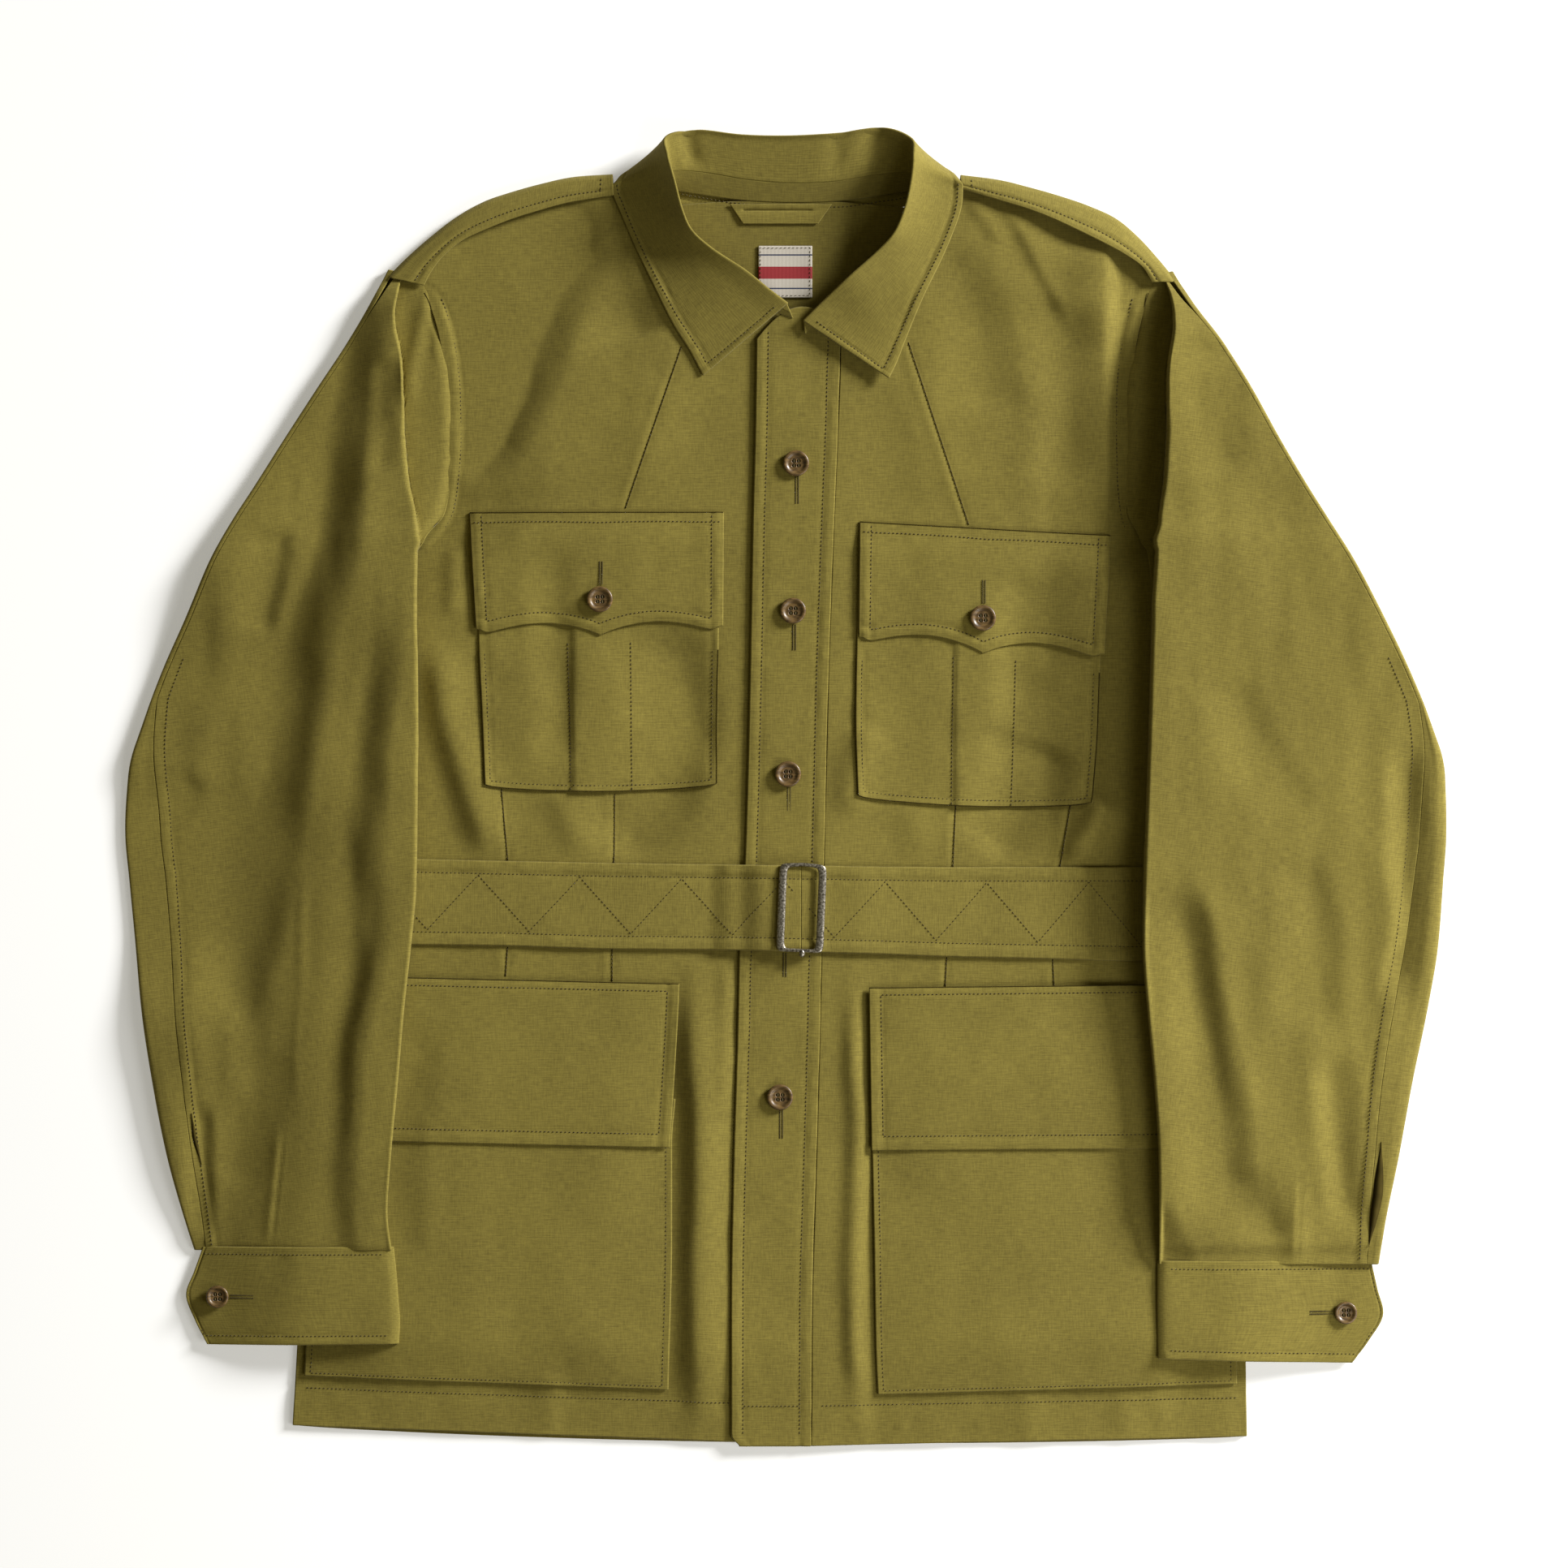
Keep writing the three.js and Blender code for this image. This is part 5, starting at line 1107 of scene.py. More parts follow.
collarNames = "nx ny nz rx ry rz ex ey ez drop"
collarRows = np.array([
    (5, 271, 10.4, 1.5, 279, 12.6, -46.8, 238.4, 10.6, 1.2), (-9, 276, 10.2, -9, 287, 14.2, -54, 252, 10.2, 1.3),
    (-22, 283, 8.4, -23, 298, 16.6, -64, 268, 9.4, 1.5), (-40, 295, 7, -41, 309.6, 19, -74, 288, 8.8, 1.8),
    (-55, 309, 6.4, -53, 320, 22, -85, 311, 8.6, 2), (-64.5, 325, 6.2, -58.6, 332, 24, -93.6, 331, 8.4, 2.2),
    (-70, 338, 5.6, -62.8, 348, 24, -99.2, 344.6, 8, 2.2), (-70, 345.6, 4, -67, 364, 21, -97.6, 349.4, 4, 2.2),
    (-60, 344.4, 3, -67.4, 375, 15, -88, 355, 1, 2.6), (-42, 341.6, 2.6, -50, 379.2, 11, -62, 337, 0.76, 3),
    (-20, 339, 2.6, -24, 376.6, 10, -30, 334, 0.76, 3), (4, 338, 2.6, 4, 376, 10, 4, 333, 0.76, 3),
    (28, 338.6, 2.6, 32, 377.6, 10.4, 38, 334, 0.76, 3), (52, 341.4, 2.6, 56, 380.6, 11.6, 70, 337, 0.76, 3),
    (71, 344.6, 3, 73, 373.6, 16, 92, 356, 1, 2.6), (80.6, 345.6, 4, 74.4, 363, 22, 101.4, 350, 4, 2.2),
    (80.6, 338, 5.6, 73, 348, 22, 102.8, 344.6, 8, 2.2), (76.5, 325, 6.2, 69.6, 333, 21, 101, 331, 8.4, 2.2),
    (67.5, 309, 6.4, 63.6, 319, 19.6, 92, 308, 8.6, 2), (53.5, 294.6, 7, 53, 307.4, 17.6, 80, 283, 9, 1.8),
    (38, 283, 8.4, 38, 294, 17.4, 70.4, 260, 9.8, 1.5), (23, 272, 10, 24, 281, 14.4, 65, 246, 10.6, 1.3),
    (12, 261.6, 10.8, 11.6, 269, 12.6, 60.4, 236.4, 11, 1.2),
])
collarShape = {"standShare": 0.4, "crest": 0.7, "stitch": 5.6, "wall": 1.2}


def collarControl(part):
    n, r, e = collarRows[:, 0:3], collarRows[:, 3:6], collarRows[:, 6:9]
    drop = collarRows[:, 9]
    # the seam between stand and leaf lies lower at the back of the neck
    place = np.arange(len(collarRows))
    share = (collarShape["standShare"] - 0.1 * bell(place - 11.5, 2.4))[:, None]

    def rising(t):
        point = mix(n, r, t)
        tall = np.broadcast_to(t, (len(n), 1))[:, 0] ** 0.9
        point[:, 2] = mix(n[:, 2], r[:, 2], tall)
        return point

    def falling(t):
        point = mix(r, e, t)
        point[:, 2] = mix(e[:, 2], r[:, 2], (1 - t) ** drop)
        return point
    if part == "stand":
        return np.stack([rising(t) for t in (0.02, share / 2, share - 0.006)], 1)
    crest = falling(0.0)
    crest[:, 2] += collarShape["crest"]
    shoulder = falling(0.08)
    shoulder[:, 2] += collarShape["crest"] * 0.6
    lines = [rising(t) for t in (share + 0.004, 0.6, 0.8, 0.93)] + [crest, shoulder]
    return np.stack(lines + [falling(t) for t in (0.2, 0.35, 0.52, 0.7, 0.85, 1)], 1)


# the leaf's outer edge rests on the fronts, and its roll gets lower toward the front ends
onFront = np.r_[0:8, 15:23]
offFront = np.where(collarRows[onFront, 6] > 0, 4.2, 0.35)
collarRows[onFront, 8] = frontTop(collarRows[onFront, 6], collarRows[onFront, 7]) + collarShape["wall"] / 2 + offFront
leafControl = collarControl("leaf")
leafWidths = np.linalg.norm(collarRows[:, 3:6] - collarRows[:, 6:9], axis=1)


def leafSurface(u, v):
    """The sections' curves joined smoothly; the outer band and the front ends are rolled and stitched down."""
    points = splineGrid(leafControl, u, v)
    alongCollar = np.interp(v, [0, 1], [0, 620])
    fromEdge = (1 - u) / 0.6 * np.interp(v, np.linspace(0, 1, len(leafWidths)), leafWidths)
    onLeaf = ease((u - 0.5) / 0.1)
    fromEnd = np.minimum(alongCollar, 620 - alongCollar)
    relief = stitchedEdge(fromEdge, collarShape["stitch"], alongCollar, 41)
    relief = relief + stitchedEdge(fromEnd, collarShape["stitch"], fromEdge, 42)
    waves = 0.7 * softNoise(alongCollar, u * 40, 38, 43) * np.sin(np.pi * np.clip(u, 0, 1))
    points[..., 2] += onLeaf * relief + waves
    # creases of the standing back part, which is folded sharply at both corners of the neck
    backPart = ease((v - 0.3) / 0.06) * (1 - ease((v - 0.64) / 0.06))
    dents = bell(v - 0.395, 0.012) + 0.8 * bell(v - 0.585, 0.014) + 0.5 * bell(v - 0.545, 0.01)
    points[..., 2] -= 1.6 * dents * backPart * ease(u / 0.1) * (1 - ease((u - 0.36) / 0.08))
    return points


def makeCollar():
    control = collarControl("stand")
    stand = clothShell("collarStand", lambda u, v: splineGrid(control, u, v), spread(10, 14), spread(240, 500),
                       wallSizes["panel"], lambda u, v, m: np.stack([v * 500, u * 14], -1))
    finishPiece(stand, neckShadeCloth, ["collar_stand"])
    leaf = clothShell("collarLeaf", leafSurface, spread(58, 80), spread(330, 620), collarShape["wall"],
                      lambda u, v, m: np.stack([v * 620, u * 80], -1))
    finishPiece(leaf, bodyCloth, ["collar_leaf"])


makeCollar()
print("collar made")

# Shoulder straps, folded over the shoulder edge

strapRows = {
    "right": columns("fx fy ox oy lift under", [
        (-98.6, 342.4, -99.4, 355, 6, 26), (-124, 338.2, -122, 353.4, 5.9, 26), (-141, 333.6, -140, 349.6, 5.8, 26),
        (-157, 328.6, -158, 344.6, 5.8, 26), (-172, 322.6, -174, 339, 5.8, 26), (-186, 316, -190, 330, 5.8, 24),
        (-197, 307, -205, 318.4, 5.8, 18), (-204, 298, -218, 307, 5.9, 11), (-208, 290.4, -228.6, 296.4, 6, 5)]),
    "left": columns("fx fy ox oy lift under", [
        (102.8, 346, 102.4, 354.6, 6, 26), (124, 339.4, 124, 351.8, 5.9, 26), (141, 334, 141.4, 347.6, 5.8, 26),
        (156, 328, 159, 342.6, 5.8, 26), (170, 321.4, 176, 336.8, 5.8, 26), (184, 314.6, 192, 329.4, 5.8, 24),
        (197, 307.6, 205, 318.6, 6, 18), (207, 300.6, 216, 306.6, 6.2, 11), (212.6, 292, 226.4, 294, 6.2, 5)]),
}
strapShape = {"frontLift": {"right": 1.8, "left": 4.6}, "stitch": 5.0}


def strapSurface(side):
    rows = strapRows[side]
    along = unit(np.stack([np.gradient(rows["ox"]), np.gradient(rows["oy"])], 1))
    turn = 1 if side == "right" else -1
    inX, inY = -along[:, 1] * turn, along[:, 0] * turn
    lift = rows["lift"]
    ends = np.sin(np.linspace(0, np.pi, len(lift)))
    raised = lift + strapShape["frontLift"][side] * (0.3 + ends)
    front = np.stack([rows["fx"], rows["fy"], raised], 1)
    edgeTop = np.stack([rows["ox"] + inX * 2.6, rows["oy"] + inY * 2.6, lift], 1)
    crest = np.stack([rows["ox"] + inX * 0.6, rows["oy"] + inY * 0.6, (lift + 0.55) / 2], 1)
    edgeUnder = edgeTop.copy()
    edgeUnder[:, 2] = wallSizes["trim"] / 2
    hidden = np.stack([rows["ox"] + inX * rows["under"], rows["oy"] + inY * rows["under"], edgeUnder[:, 2]], 1)
    quarter, half, most = [mix(front, edgeTop, t) for t in (0.25, 0.5, 0.8)]
    bulge = np.array([0, 0, 1.0])
    control = np.stack([front, quarter + bulge * 0.5, half + bulge * 0.9, most + bulge * 0.5, edgeTop, crest,
                        edgeUnder, mix(edgeUnder, hidden, 0.5), hidden], 1)

    def surface(u, v):
        points = splineGrid(control, u, v)
        relief = stitchedEdge(u / 0.5 * 16, strapShape["stitch"], v * 135, 51)
        points[..., 2] += relief * (1 - ease((u - 0.35) / 0.08))
        return points
    return surface


straps = {side: strapSurface(side) for side in ("right", "left")}


def makeStraps():
    for side in ("right", "left"):
        lines = spread(34, 50)
        piece = clothShell("shoulderStrap" + side.capitalize(), straps[side], lines[::-1] if side == "left" else lines,
                           spread(70, 135), wallSizes["trim"], lambda u, v, m: np.stack([v * 135, u * 50], -1))
        finishPiece(piece, crossCloth, ["epaulette_" + side])


makeStraps()
print("shoulder straps made")

# Chest pockets: a bag with a box pleat, and a flap with a scalloped, pointed lower edge

chestPockets = {
    "right": {"tl": (-181.6, 158.9), "tr": (-35, 159), "bl": (-177.6, 87), "br": (-35.4, 89), "axis": (-106, 86.6),
              "scallop": 8.6, "bag": columns("leftX leftY rightX rightY", [
                  (-172.4, 1.6, -38.9, 2.4), (-174, 42, -38.6, 42), (-176, 84, -38, 86), (-177, 130, -37.4, 132)])},
    "left": {"tl": (43.9, 153.4), "tr": (188.3, 145.4), "bl": (43.3, 82.6), "br": (184.4, 72.6), "axis": (115, 74.8),
             "scallop": 9.4, "bag": columns("leftX leftY rightX rightY", [
                 (42.8, -4.6, 177.6, -8.6), (41.6, 40, 180.6, 32), (42.2, 80, 182, 72), (43.6, 122, 184.6, 116)])},
}
chestShape = {"bagSag": 4.0, "pleatHalf": 16.8, "pleatRelief": 1.0, "stitch": 6.6}


def pleatBump(x, axis):
    half = chestShape["pleatHalf"]
    return chestShape["pleatRelief"] * ease((x - axis + half + 0.4) / 1.8) * (1 - ease((x - axis + half * 0.4) / (half * 1.5)))


def chestBagSurface(side):
    pocket = chestPockets[side]
    table = dict(pocket["bag"], at=np.linspace(0, 1, 4))
    axisX = pocket["axis"][0]

    def surface(u, v):
        x0, y0, x1, y1 = [lookUp(table, "at", v, k) for k in ("leftX", "leftY", "rightX", "rightY")]
        sag = chestShape["bagSag"] * np.sin(np.pi * np.clip(u, 0, 1)) ** 0.6 * (1 - ease(v / 0.3))
        x, y = mix(x0, x1, u), mix(y0, y1, u) - sag
        width, height = x1 - x0, 130
        near = np.minimum(np.minimum(u, 1 - u) * width, v * height)
        level = frontTop(x, y) + 2 * wallSizes["seamGap"] + wallSizes["trim"] / 2
        relief = stitchedEdge(near, 3.2, x + y, 61) + 0.3 * softNoise(x, y, 18, 62)
        return np.stack([x, y, level + pleatBump(x, axisX) + relief], -1)
    return surface


def scallopEdge(pocket, u):
    """Two arcs that meet in a point on the button's axis."""
    middle = (pocket["axis"][0] - pocket["bl"][0]) / (pocket["br"][0] - pocket["bl"][0])
    t = np.where(u < middle, u / middle, (1 - u) / (1 - middle))
    return pocket["scallop"] * np.sin(np.pi * np.clip(t, 0, 1)) ** 0.85 * (0.75 + 0.25 * t)


def chestFlapSurface(side):
    pocket = chestPockets[side]

    def surface(u, v):
        lowX = mix(pocket["bl"][0], pocket["br"][0], u)
        # the outer corners are cut back a little
        corner = 4.5 * (bell(u * 145, 4.5) + bell((1 - u) * 145, 4.5))
        lowY = mix(pocket["bl"][1], pocket["br"][1], u) + scallopEdge(pocket, u) + corner
        x = mix(mix(pocket["tl"][0], pocket["tr"][0], u), lowX, v)
        topY = mix(pocket["tl"][1], pocket["tr"][1], u)
        y = mix(topY, lowY, v)
        drop = (1 - v) * np.abs(topY - lowY)
        fromSide = np.minimum(u, 1 - u) * 145
        overPleat = chestShape["pleatRelief"] * (0.15 + 0.85 * bell(x - pocket["axis"][0], 50))
        level = frontTop(x, y) + 3 * wallSizes["seamGap"] + wallSizes["trim"] * 1.5 + overPleat
        seated = 1.3 * (1 - ease(v / 0.28)) + 0.45 * (1 - ease(fromSide / 5)) - 0.1
        lower = bell(drop, 5) * 0.8 * (0.5 + softNoise(u * 145, y * 0, 30, 65))
        relief = stitchedEdge(drop, chestShape["stitch"], x, 63) + stitchedEdge(fromSide, chestShape["stitch"], y, 64)
        return np.stack([x, y, level - seated + relief + lower + 0.22 * softNoise(x, y, 16, 66)], -1)
    return surface


chestBags = {side: chestBagSurface(side) for side in ("right", "left")}
chestFlaps = {side: chestFlapSurface(side) for side in ("right", "left")}


def makeChestPockets():
    for side in ("right", "left"):
        name = side.capitalize()
        bag = clothShell("chestBag" + name, chestBags[side], spread(80, 140), spread(64, 130), wallSizes["trim"])
        finishPiece(bag, bodyCloth, ["chest_bag_" + side])
        # the flap's rows run down from its seam, so its columns are turned
        flap = clothShell("chestFlap" + name, chestFlaps[side], spread(88, 145)[::-1], spread(48, 75),
                          wallSizes["trim"])
        finishPiece(flap, bodyCloth, ["chest_flap_" + side])


makeChestPockets()
print("chest pockets made")

# Lower pockets: a bag that stands off the front on a folded side, and a plain flap

lowerPockets = {
    "right": {
        "flap": columns("leftX leftY rightX rightY", [
            (-262, -108.6, -60.6, -113.3), (-264, -130, -61.6, -135), (-266, -168, -63.8, -172),
            (-267.4, -203, -66.3, -207.4)]),
        "bag": columns("leftX leftY rightX rightY", [
            (-268, -176, -63, -180), (-270, -204, -65, -207), (-273, -260, -65, -262), (-276, -322, -66.6, -326),
            (-277, -339.6, -67.2, -347.6)])},
    "left": {
        "flap": columns("leftX leftY rightX rightY", [
            (49.3, -115.6, 258, -113.4), (49.6, -136, 259, -134), (50.2, -172, 260, -170),
            (50.8, -209, 260.6, -207.6)]),
        "bag": columns("leftX leftY rightX rightY", [
            (50.6, -182, 260.6, -180), (51.2, -210, 260.8, -207), (52.3, -262, 261, -262), (53.4, -326, 261.4, -326),
            (54.5, -350.4, 261.6, -344.4)])},
}
lowerShape = {"puff": 1.1, "stitch": 6.6, "bagStitch": 3.4}


def lowerSurface(side, kind):
    rows = lowerPockets[side][kind]
    table = dict(rows, at=np.linspace(0, 1, len(rows["leftX"])))
    gap, panel, trim = wallSizes["seamGap"], wallSizes["panel"], wallSizes["trim"]

    def surface(u, v):
        x0, y0, x1, y1 = [lookUp(table, "at", v, k) for k in ("leftX", "leftY", "rightX", "rightY")]
        x, y = mix(x0, x1, u), mix(y0, y1, u)
        fromSide = np.minimum(u, 1 - u) * 208
        ground = frontTop(x, y) + 0.5
        if kind == "bag":
            puff = lowerShape["puff"] * ease(u / 0.2) * ease((1 - u) / 0.2) * ease((y + 345) / 30)
            fromEnd = (1 - v) * 170
            relief = stitchedEdge(np.minimum(fromSide, fromEnd), lowerShape["bagStitch"], x + y, 71)
            level = ground + gap + panel / 2 + puff + 0.4 * softNoise(x, y, 34, 72)
        else:
            puff = lowerShape["puff"] * ease((u + 0.04) / 0.22) * ease((1.04 - u) / 0.22)
            fromEnd = (1 - v) * 94
            relief = stitchedEdge(fromEnd, lowerShape["stitch"], x, 73)
            relief = relief + stitchedEdge(fromSide, lowerShape["stitch"], y, 74)
            relief = relief + 0.8 * stitchedEdge(v * 94, lowerShape["stitch"], x, 75) - 0.8 * (1 - ease(v / 0.08))
            level = ground + 2 * gap + panel + trim / 2 + puff + 0.45 + 0.3 * softNoise(x, y, 30, 76)
        return np.stack([x, y, level + relief], -1)
    return surface


lowerBags = {side: lowerSurface(side, "bag") for side in ("right", "left")}
lowerFlaps = {side: lowerSurface(side, "flap") for side in ("right", "left")}


def makeLowerPockets():
    for side in ("right", "left"):
        name = side.capitalize()
        bag = clothShell("lowerBag" + name, lowerBags[side], spread(96, 208)[::-1], spread(80, 170), wallSizes["panel"])
        finishPiece(bag, bodyCloth, ["lower_bag_" + side])
        flap = clothShell("lowerFlap" + name, lowerFlaps[side], spread(110, 208)[::-1], spread(54, 94),
                          wallSizes["trim"])
        finishPiece(flap, bodyCloth, ["lower_flap_" + side])


makeLowerPockets()
print("lower pockets made")

# Belt: two lengths that meet under the buckle

beltRows = {
    "right": columns("x top bottom", [
        (-264.8, -41, -89.4), (-240, -41.4, -89.8), (-211, -41.8, -90.2), (-166, -42.8, -90.7), (-135, -43.4, -91.6),
        (-104, -44, -92.6), (-70, -44.5, -92.9), (-48, -44.8, -93.1), (-30, -45, -93.2), (-12, -45.2, -93.4),
        (9.6, -45.6, -94)]),
    "left": columns("x top bottom", [
        (10, -45.6, -94), (24, -45.6, -94.6), (36, -45.9, -95), (52, -46.1, -95.4), (75, -46.3, -96.3),
        (94, -46.5, -97), (130, -46.4, -97.8), (165, -46.3, -98.6), (205, -46.1, -99.6), (240, -46, -99.8),
        (264.6, -46, -100)]),
}
beltShape = {"middleY": -70.0, "stitch": 7.0, "zigzagPeriod": 58.7, "zigzagTop": 8.0, "zigzagBottom": 40.0,
             "zigzagPhase": -176.3}


def beltUnderside(x):
    overPlacket = ease((x + 44) / 14) * (1 - ease((x - 38) / 34))
    overButton = ease((x + 26) / 14) * (1 - ease((x - 12) / 14))
    middleY = np.full_like(x, beltShape["middleY"])
    return frontMiddle(x, middleY) + wallSizes["panel"] / 2 + 0.65 + overPlacket * 2.0 + overButton * 2.2


def beltSurface(side):
    rows = beltRows[side]

    def surface(u, v):
        x = mix(rows["x"][0], rows["x"][-1], u)
        top, bottom = lookUp(rows, "x", x, "top"), lookUp(rows, "x", x, "bottom")
        y = mix(top, bottom, v)
        deep = 48.4
        relief = stitchedEdge(v * deep, beltShape["stitch"], x, 81) + stitchedEdge((1 - v) * deep, beltShape["stitch"],
                                                                                  x, 82)
        return np.stack([x, y, beltUnderside(x) + wallSizes["belt"] / 2 + relief + 0.25 * softNoise(x, y, 22, 83)], -1)
    return surface


belts = {side: beltSurface(side) for side in ("right", "left")}


def makeBelt():
    for side in ("right", "left"):
        piece = clothShell("belt" + side.capitalize(), belts[side], spread(136, 272)[::-1], spread(34, 48),
                           wallSizes["belt"])
        finishPiece(piece, crossCloth, ["belt_" + side])


makeBelt()
print("belt made")

# Buckle: a cast frame with flat side bars and thin end bars

buckleShape = {"corners": ((-4.6, -94.2), (22.6, -95.4), (24.8, -45.1), (-2.6, -43.4)), "peak": (13.4, -43.0),
               "sideBar": 4.4, "endBar": 1.9, "round": 3.2, "height": 1.9, "bead": (10.3, -95.4)}


def roundedFrame(count):
    """Outer and inner outline of the frame, point by point: a quadrilateral with round corners and a peaked top."""
    (x0, y0), (x1, y1), (x2, y2), (x3, y3) = buckleShape["corners"]
    peakX, peakY = buckleShape["peak"]
    turn = np.linspace(0, 2 * np.pi, count, endpoint=False) + np.pi / 4
    power = 0.16
    s = np.sign(np.cos(turn)) * np.abs(np.cos(turn)) ** power
    t = np.sign(np.sin(turn)) * np.abs(np.sin(turn)) ** power
    a, b = (s + 1) / 2, (t + 1) / 2
    x = mix(mix(x0, x1, a), mix(x3, x2, a), b)
    y = mix(mix(y0, y1, a), mix(y3, y2, a), b)
    lift = np.clip(1 - np.abs(x - peakX) / 14, 0, 1) * (peakY - (y2 + y3) / 2) * ease((b - 0.9) / 0.1)
    y = y + lift
    innerA = mix(0.165, 0.835, (s * 0.999 + 1) / 2)
    innerB = mix(0.04, 0.96, (t * 0.999 + 1) / 2)
    ix = mix(mix(x0, x1, innerA), mix(x3, x2, innerA), innerB)
    iy = mix(mix(y0, y1, innerA), mix(y3, y2, innerA), innerB) + lift
    return np.stack([x, y], 1), np.stack([ix, iy], 1)


def makeBuckle():
    outer, inner = roundedFrame(160)
    base = float(beltUnderside(np.array([10.0]))[0]) + wallSizes["belt"] + wallSizes["seamGap"] + 0.35
    turns = np.linspace(0, 2 * np.pi, 14, endpoint=False)
    across = (1 - np.cos(turns)) / 2
    flatter = np.sign(np.sin(turns)) * np.abs(np.sin(turns)) ** 0.7
    lift = base + buckleShape["height"] / 2 * (1 + flatter)
    ring = outer[:, None, :] * (1 - across)[None, :, None] + inner[:, None, :] * across[None, :, None]
    points = np.concatenate([ring, np.broadcast_to(lift[None, :, None], ring.shape[:2] + (1,))], -1)
    count, around = points.shape[:2]
    number = np.arange(count * around).reshape(count, around)
    a, b = number, np.roll(number, -1, 0)
    c, d = np.roll(b, -1, 1), np.roll(a, -1, 1)
    quads = np.stack([a.ravel(), b.ravel(), c.ravel(), d.ravel()], 1)
    buckle = meshFromArrays("buckleFrame", points.reshape(-1, 3), quads)
    finishPiece(buckle, nickelFinish, ["buckle"])
    # small bead in the middle of the lower bar
    u, v = np.meshgrid(np.linspace(0, 2 * np.pi, 24, endpoint=False), np.linspace(0.04, np.pi - 0.04, 14))
    bx, by = buckleShape["bead"]
    bead = np.stack([bx + 1.7 * np.cos(u) * np.sin(v), by + 2.4 * np.sin(u) * np.sin(v),
                     base + 1.1 + 1.5 * np.cos(v)], -1)
    number = np.arange(u.size).reshape(u.shape)
    a, b = number[:-1], np.roll(number[:-1], -1, 1)
    c, d = np.roll(number[1:], -1, 1), number[1:]
    beadPiece = meshFromArrays("buckleBead", bead.reshape(-1, 3),
                               np.stack([a.ravel(), d.ravel(), c.ravel(), b.ravel()], 1))
    closeHoles(beadPiece)
    finishPiece(beadPiece, nickelFinish)


def closeHoles(piece):
    """Caps the open ends of a small turned shape and points its faces outwards."""
    import bmesh
    work = bmesh.new()
    work.from_mesh(piece.data)
    bmesh.ops.holes_fill(work, edges=[e for e in work.edges if e.is_boundary])
    bmesh.ops.recalc_face_normals(work, faces=work.faces)
    work.to_mesh(piece.data)
    work.free()
    piece.data.polygons.foreach_set("use_smooth", np.ones(len(piece.data.polygons), bool))


makeBuckle()
print("buckle made")

# Buttons and their buttonholes

buttonShape = {"radius": 7.5, "cuffRadius": 6.5, "thick": 2.4, "holeRing": 1.9, "holeRadius": 0.95, "segments": 56}
frontButtons = [(7, 187.1), (5.2, 102), (2.3, 7.8), (0, -85.4), (-2.3, -178.6)]  # the fourth is under the buckle
chestButtons = {"right": (-106.2, 108.6), "left": (114.7, 97.8)}
cuffButtons = {"right": (-327.2, -294), "left": (324.6, -303.4)}


def makeButton(name, node, x, y, z, radius):
    """Turned disc: a dished middle inside a raised rim, with four holes let into the dish as steep pits."""
    thick = buttonShape["thick"]
    inner = np.linspace(0.0, 0.46, 15)
    shares = np.concatenate([inner, [0.52, 0.58, 0.63, 0.68, 0.74, 0.8, 0.86, 0.91, 0.95, 0.98, 1.0, 0.995, 0.96,
                                     0.88, 0.7, 0.4, 0.0]])
    top = np.concatenate([np.full(15, 0.60), [0.60, 0.61, 0.66, 0.78, 0.9, 0.98, 1.0, 0.98, 0.92, 0.84, 0.7, 0.45,
                                              0.28, 0.12, 0.0, 0.0, 0.0]])
    angle = np.linspace(0, 2 * np.pi, buttonShape["segments"], endpoint=False)
    s, a = np.meshgrid(shares[1:-1], angle, indexing="ij")
    h = np.repeat(top[1:-1, None], len(angle), 1) * thick
    px, py = s * radius * np.cos(a), s * radius * np.sin(a)
    ring = buttonShape["holeRing"]
    pit = np.zeros_like(px)
    for sx in (-1, 1):
        for sy in (-1, 1):
            far = np.hypot(px - sx * ring * 0.72, py - sy * ring * 0.72)
            pit = np.maximum(pit, 1 - ease((far - buttonShape["holeRadius"] * 0.7) / (buttonShape["holeRadius"] * 0.6)))
    onTop = (np.arange(len(shares) - 2) < 20)[:, None]
    h = np.where(onTop, h - pit * thick * 0.5, h)
    points = np.stack([x + px, y + py, z + wallSizes["seamGap"] + h], -1).reshape(-1, 3)
    rows, cols = px.shape
    number = np.arange(rows * cols).reshape(rows, cols)
    p, q = number[:-1], np.roll(number[:-1], -1, 1)
    r, t = np.roll(number[1:], -1, 1), number[1:]
    quads = np.stack([p.ravel(), t.ravel(), r.ravel(), q.ravel()], 1)
    piece = meshFromArrays(name, points, quads)
    closeHoles(piece)
    finishPiece(piece, hornFinish, [node])
    # thread fills each hole; its dark colour is partly the painted shade of the hole
    level = z + wallSizes["seamGap"] + thick * 0.46
    reach = ring * 0.72
    up = np.array([[0, 0, 1.0], [0, 0, 1.0]])
    return [(np.array([[x + sx * reach, y + sy * reach - 0.7, level], [x + sx * reach, y + sy * reach + 0.7, level]]), up)
            for sx in (-1, 1) for sy in (-1, 1)]


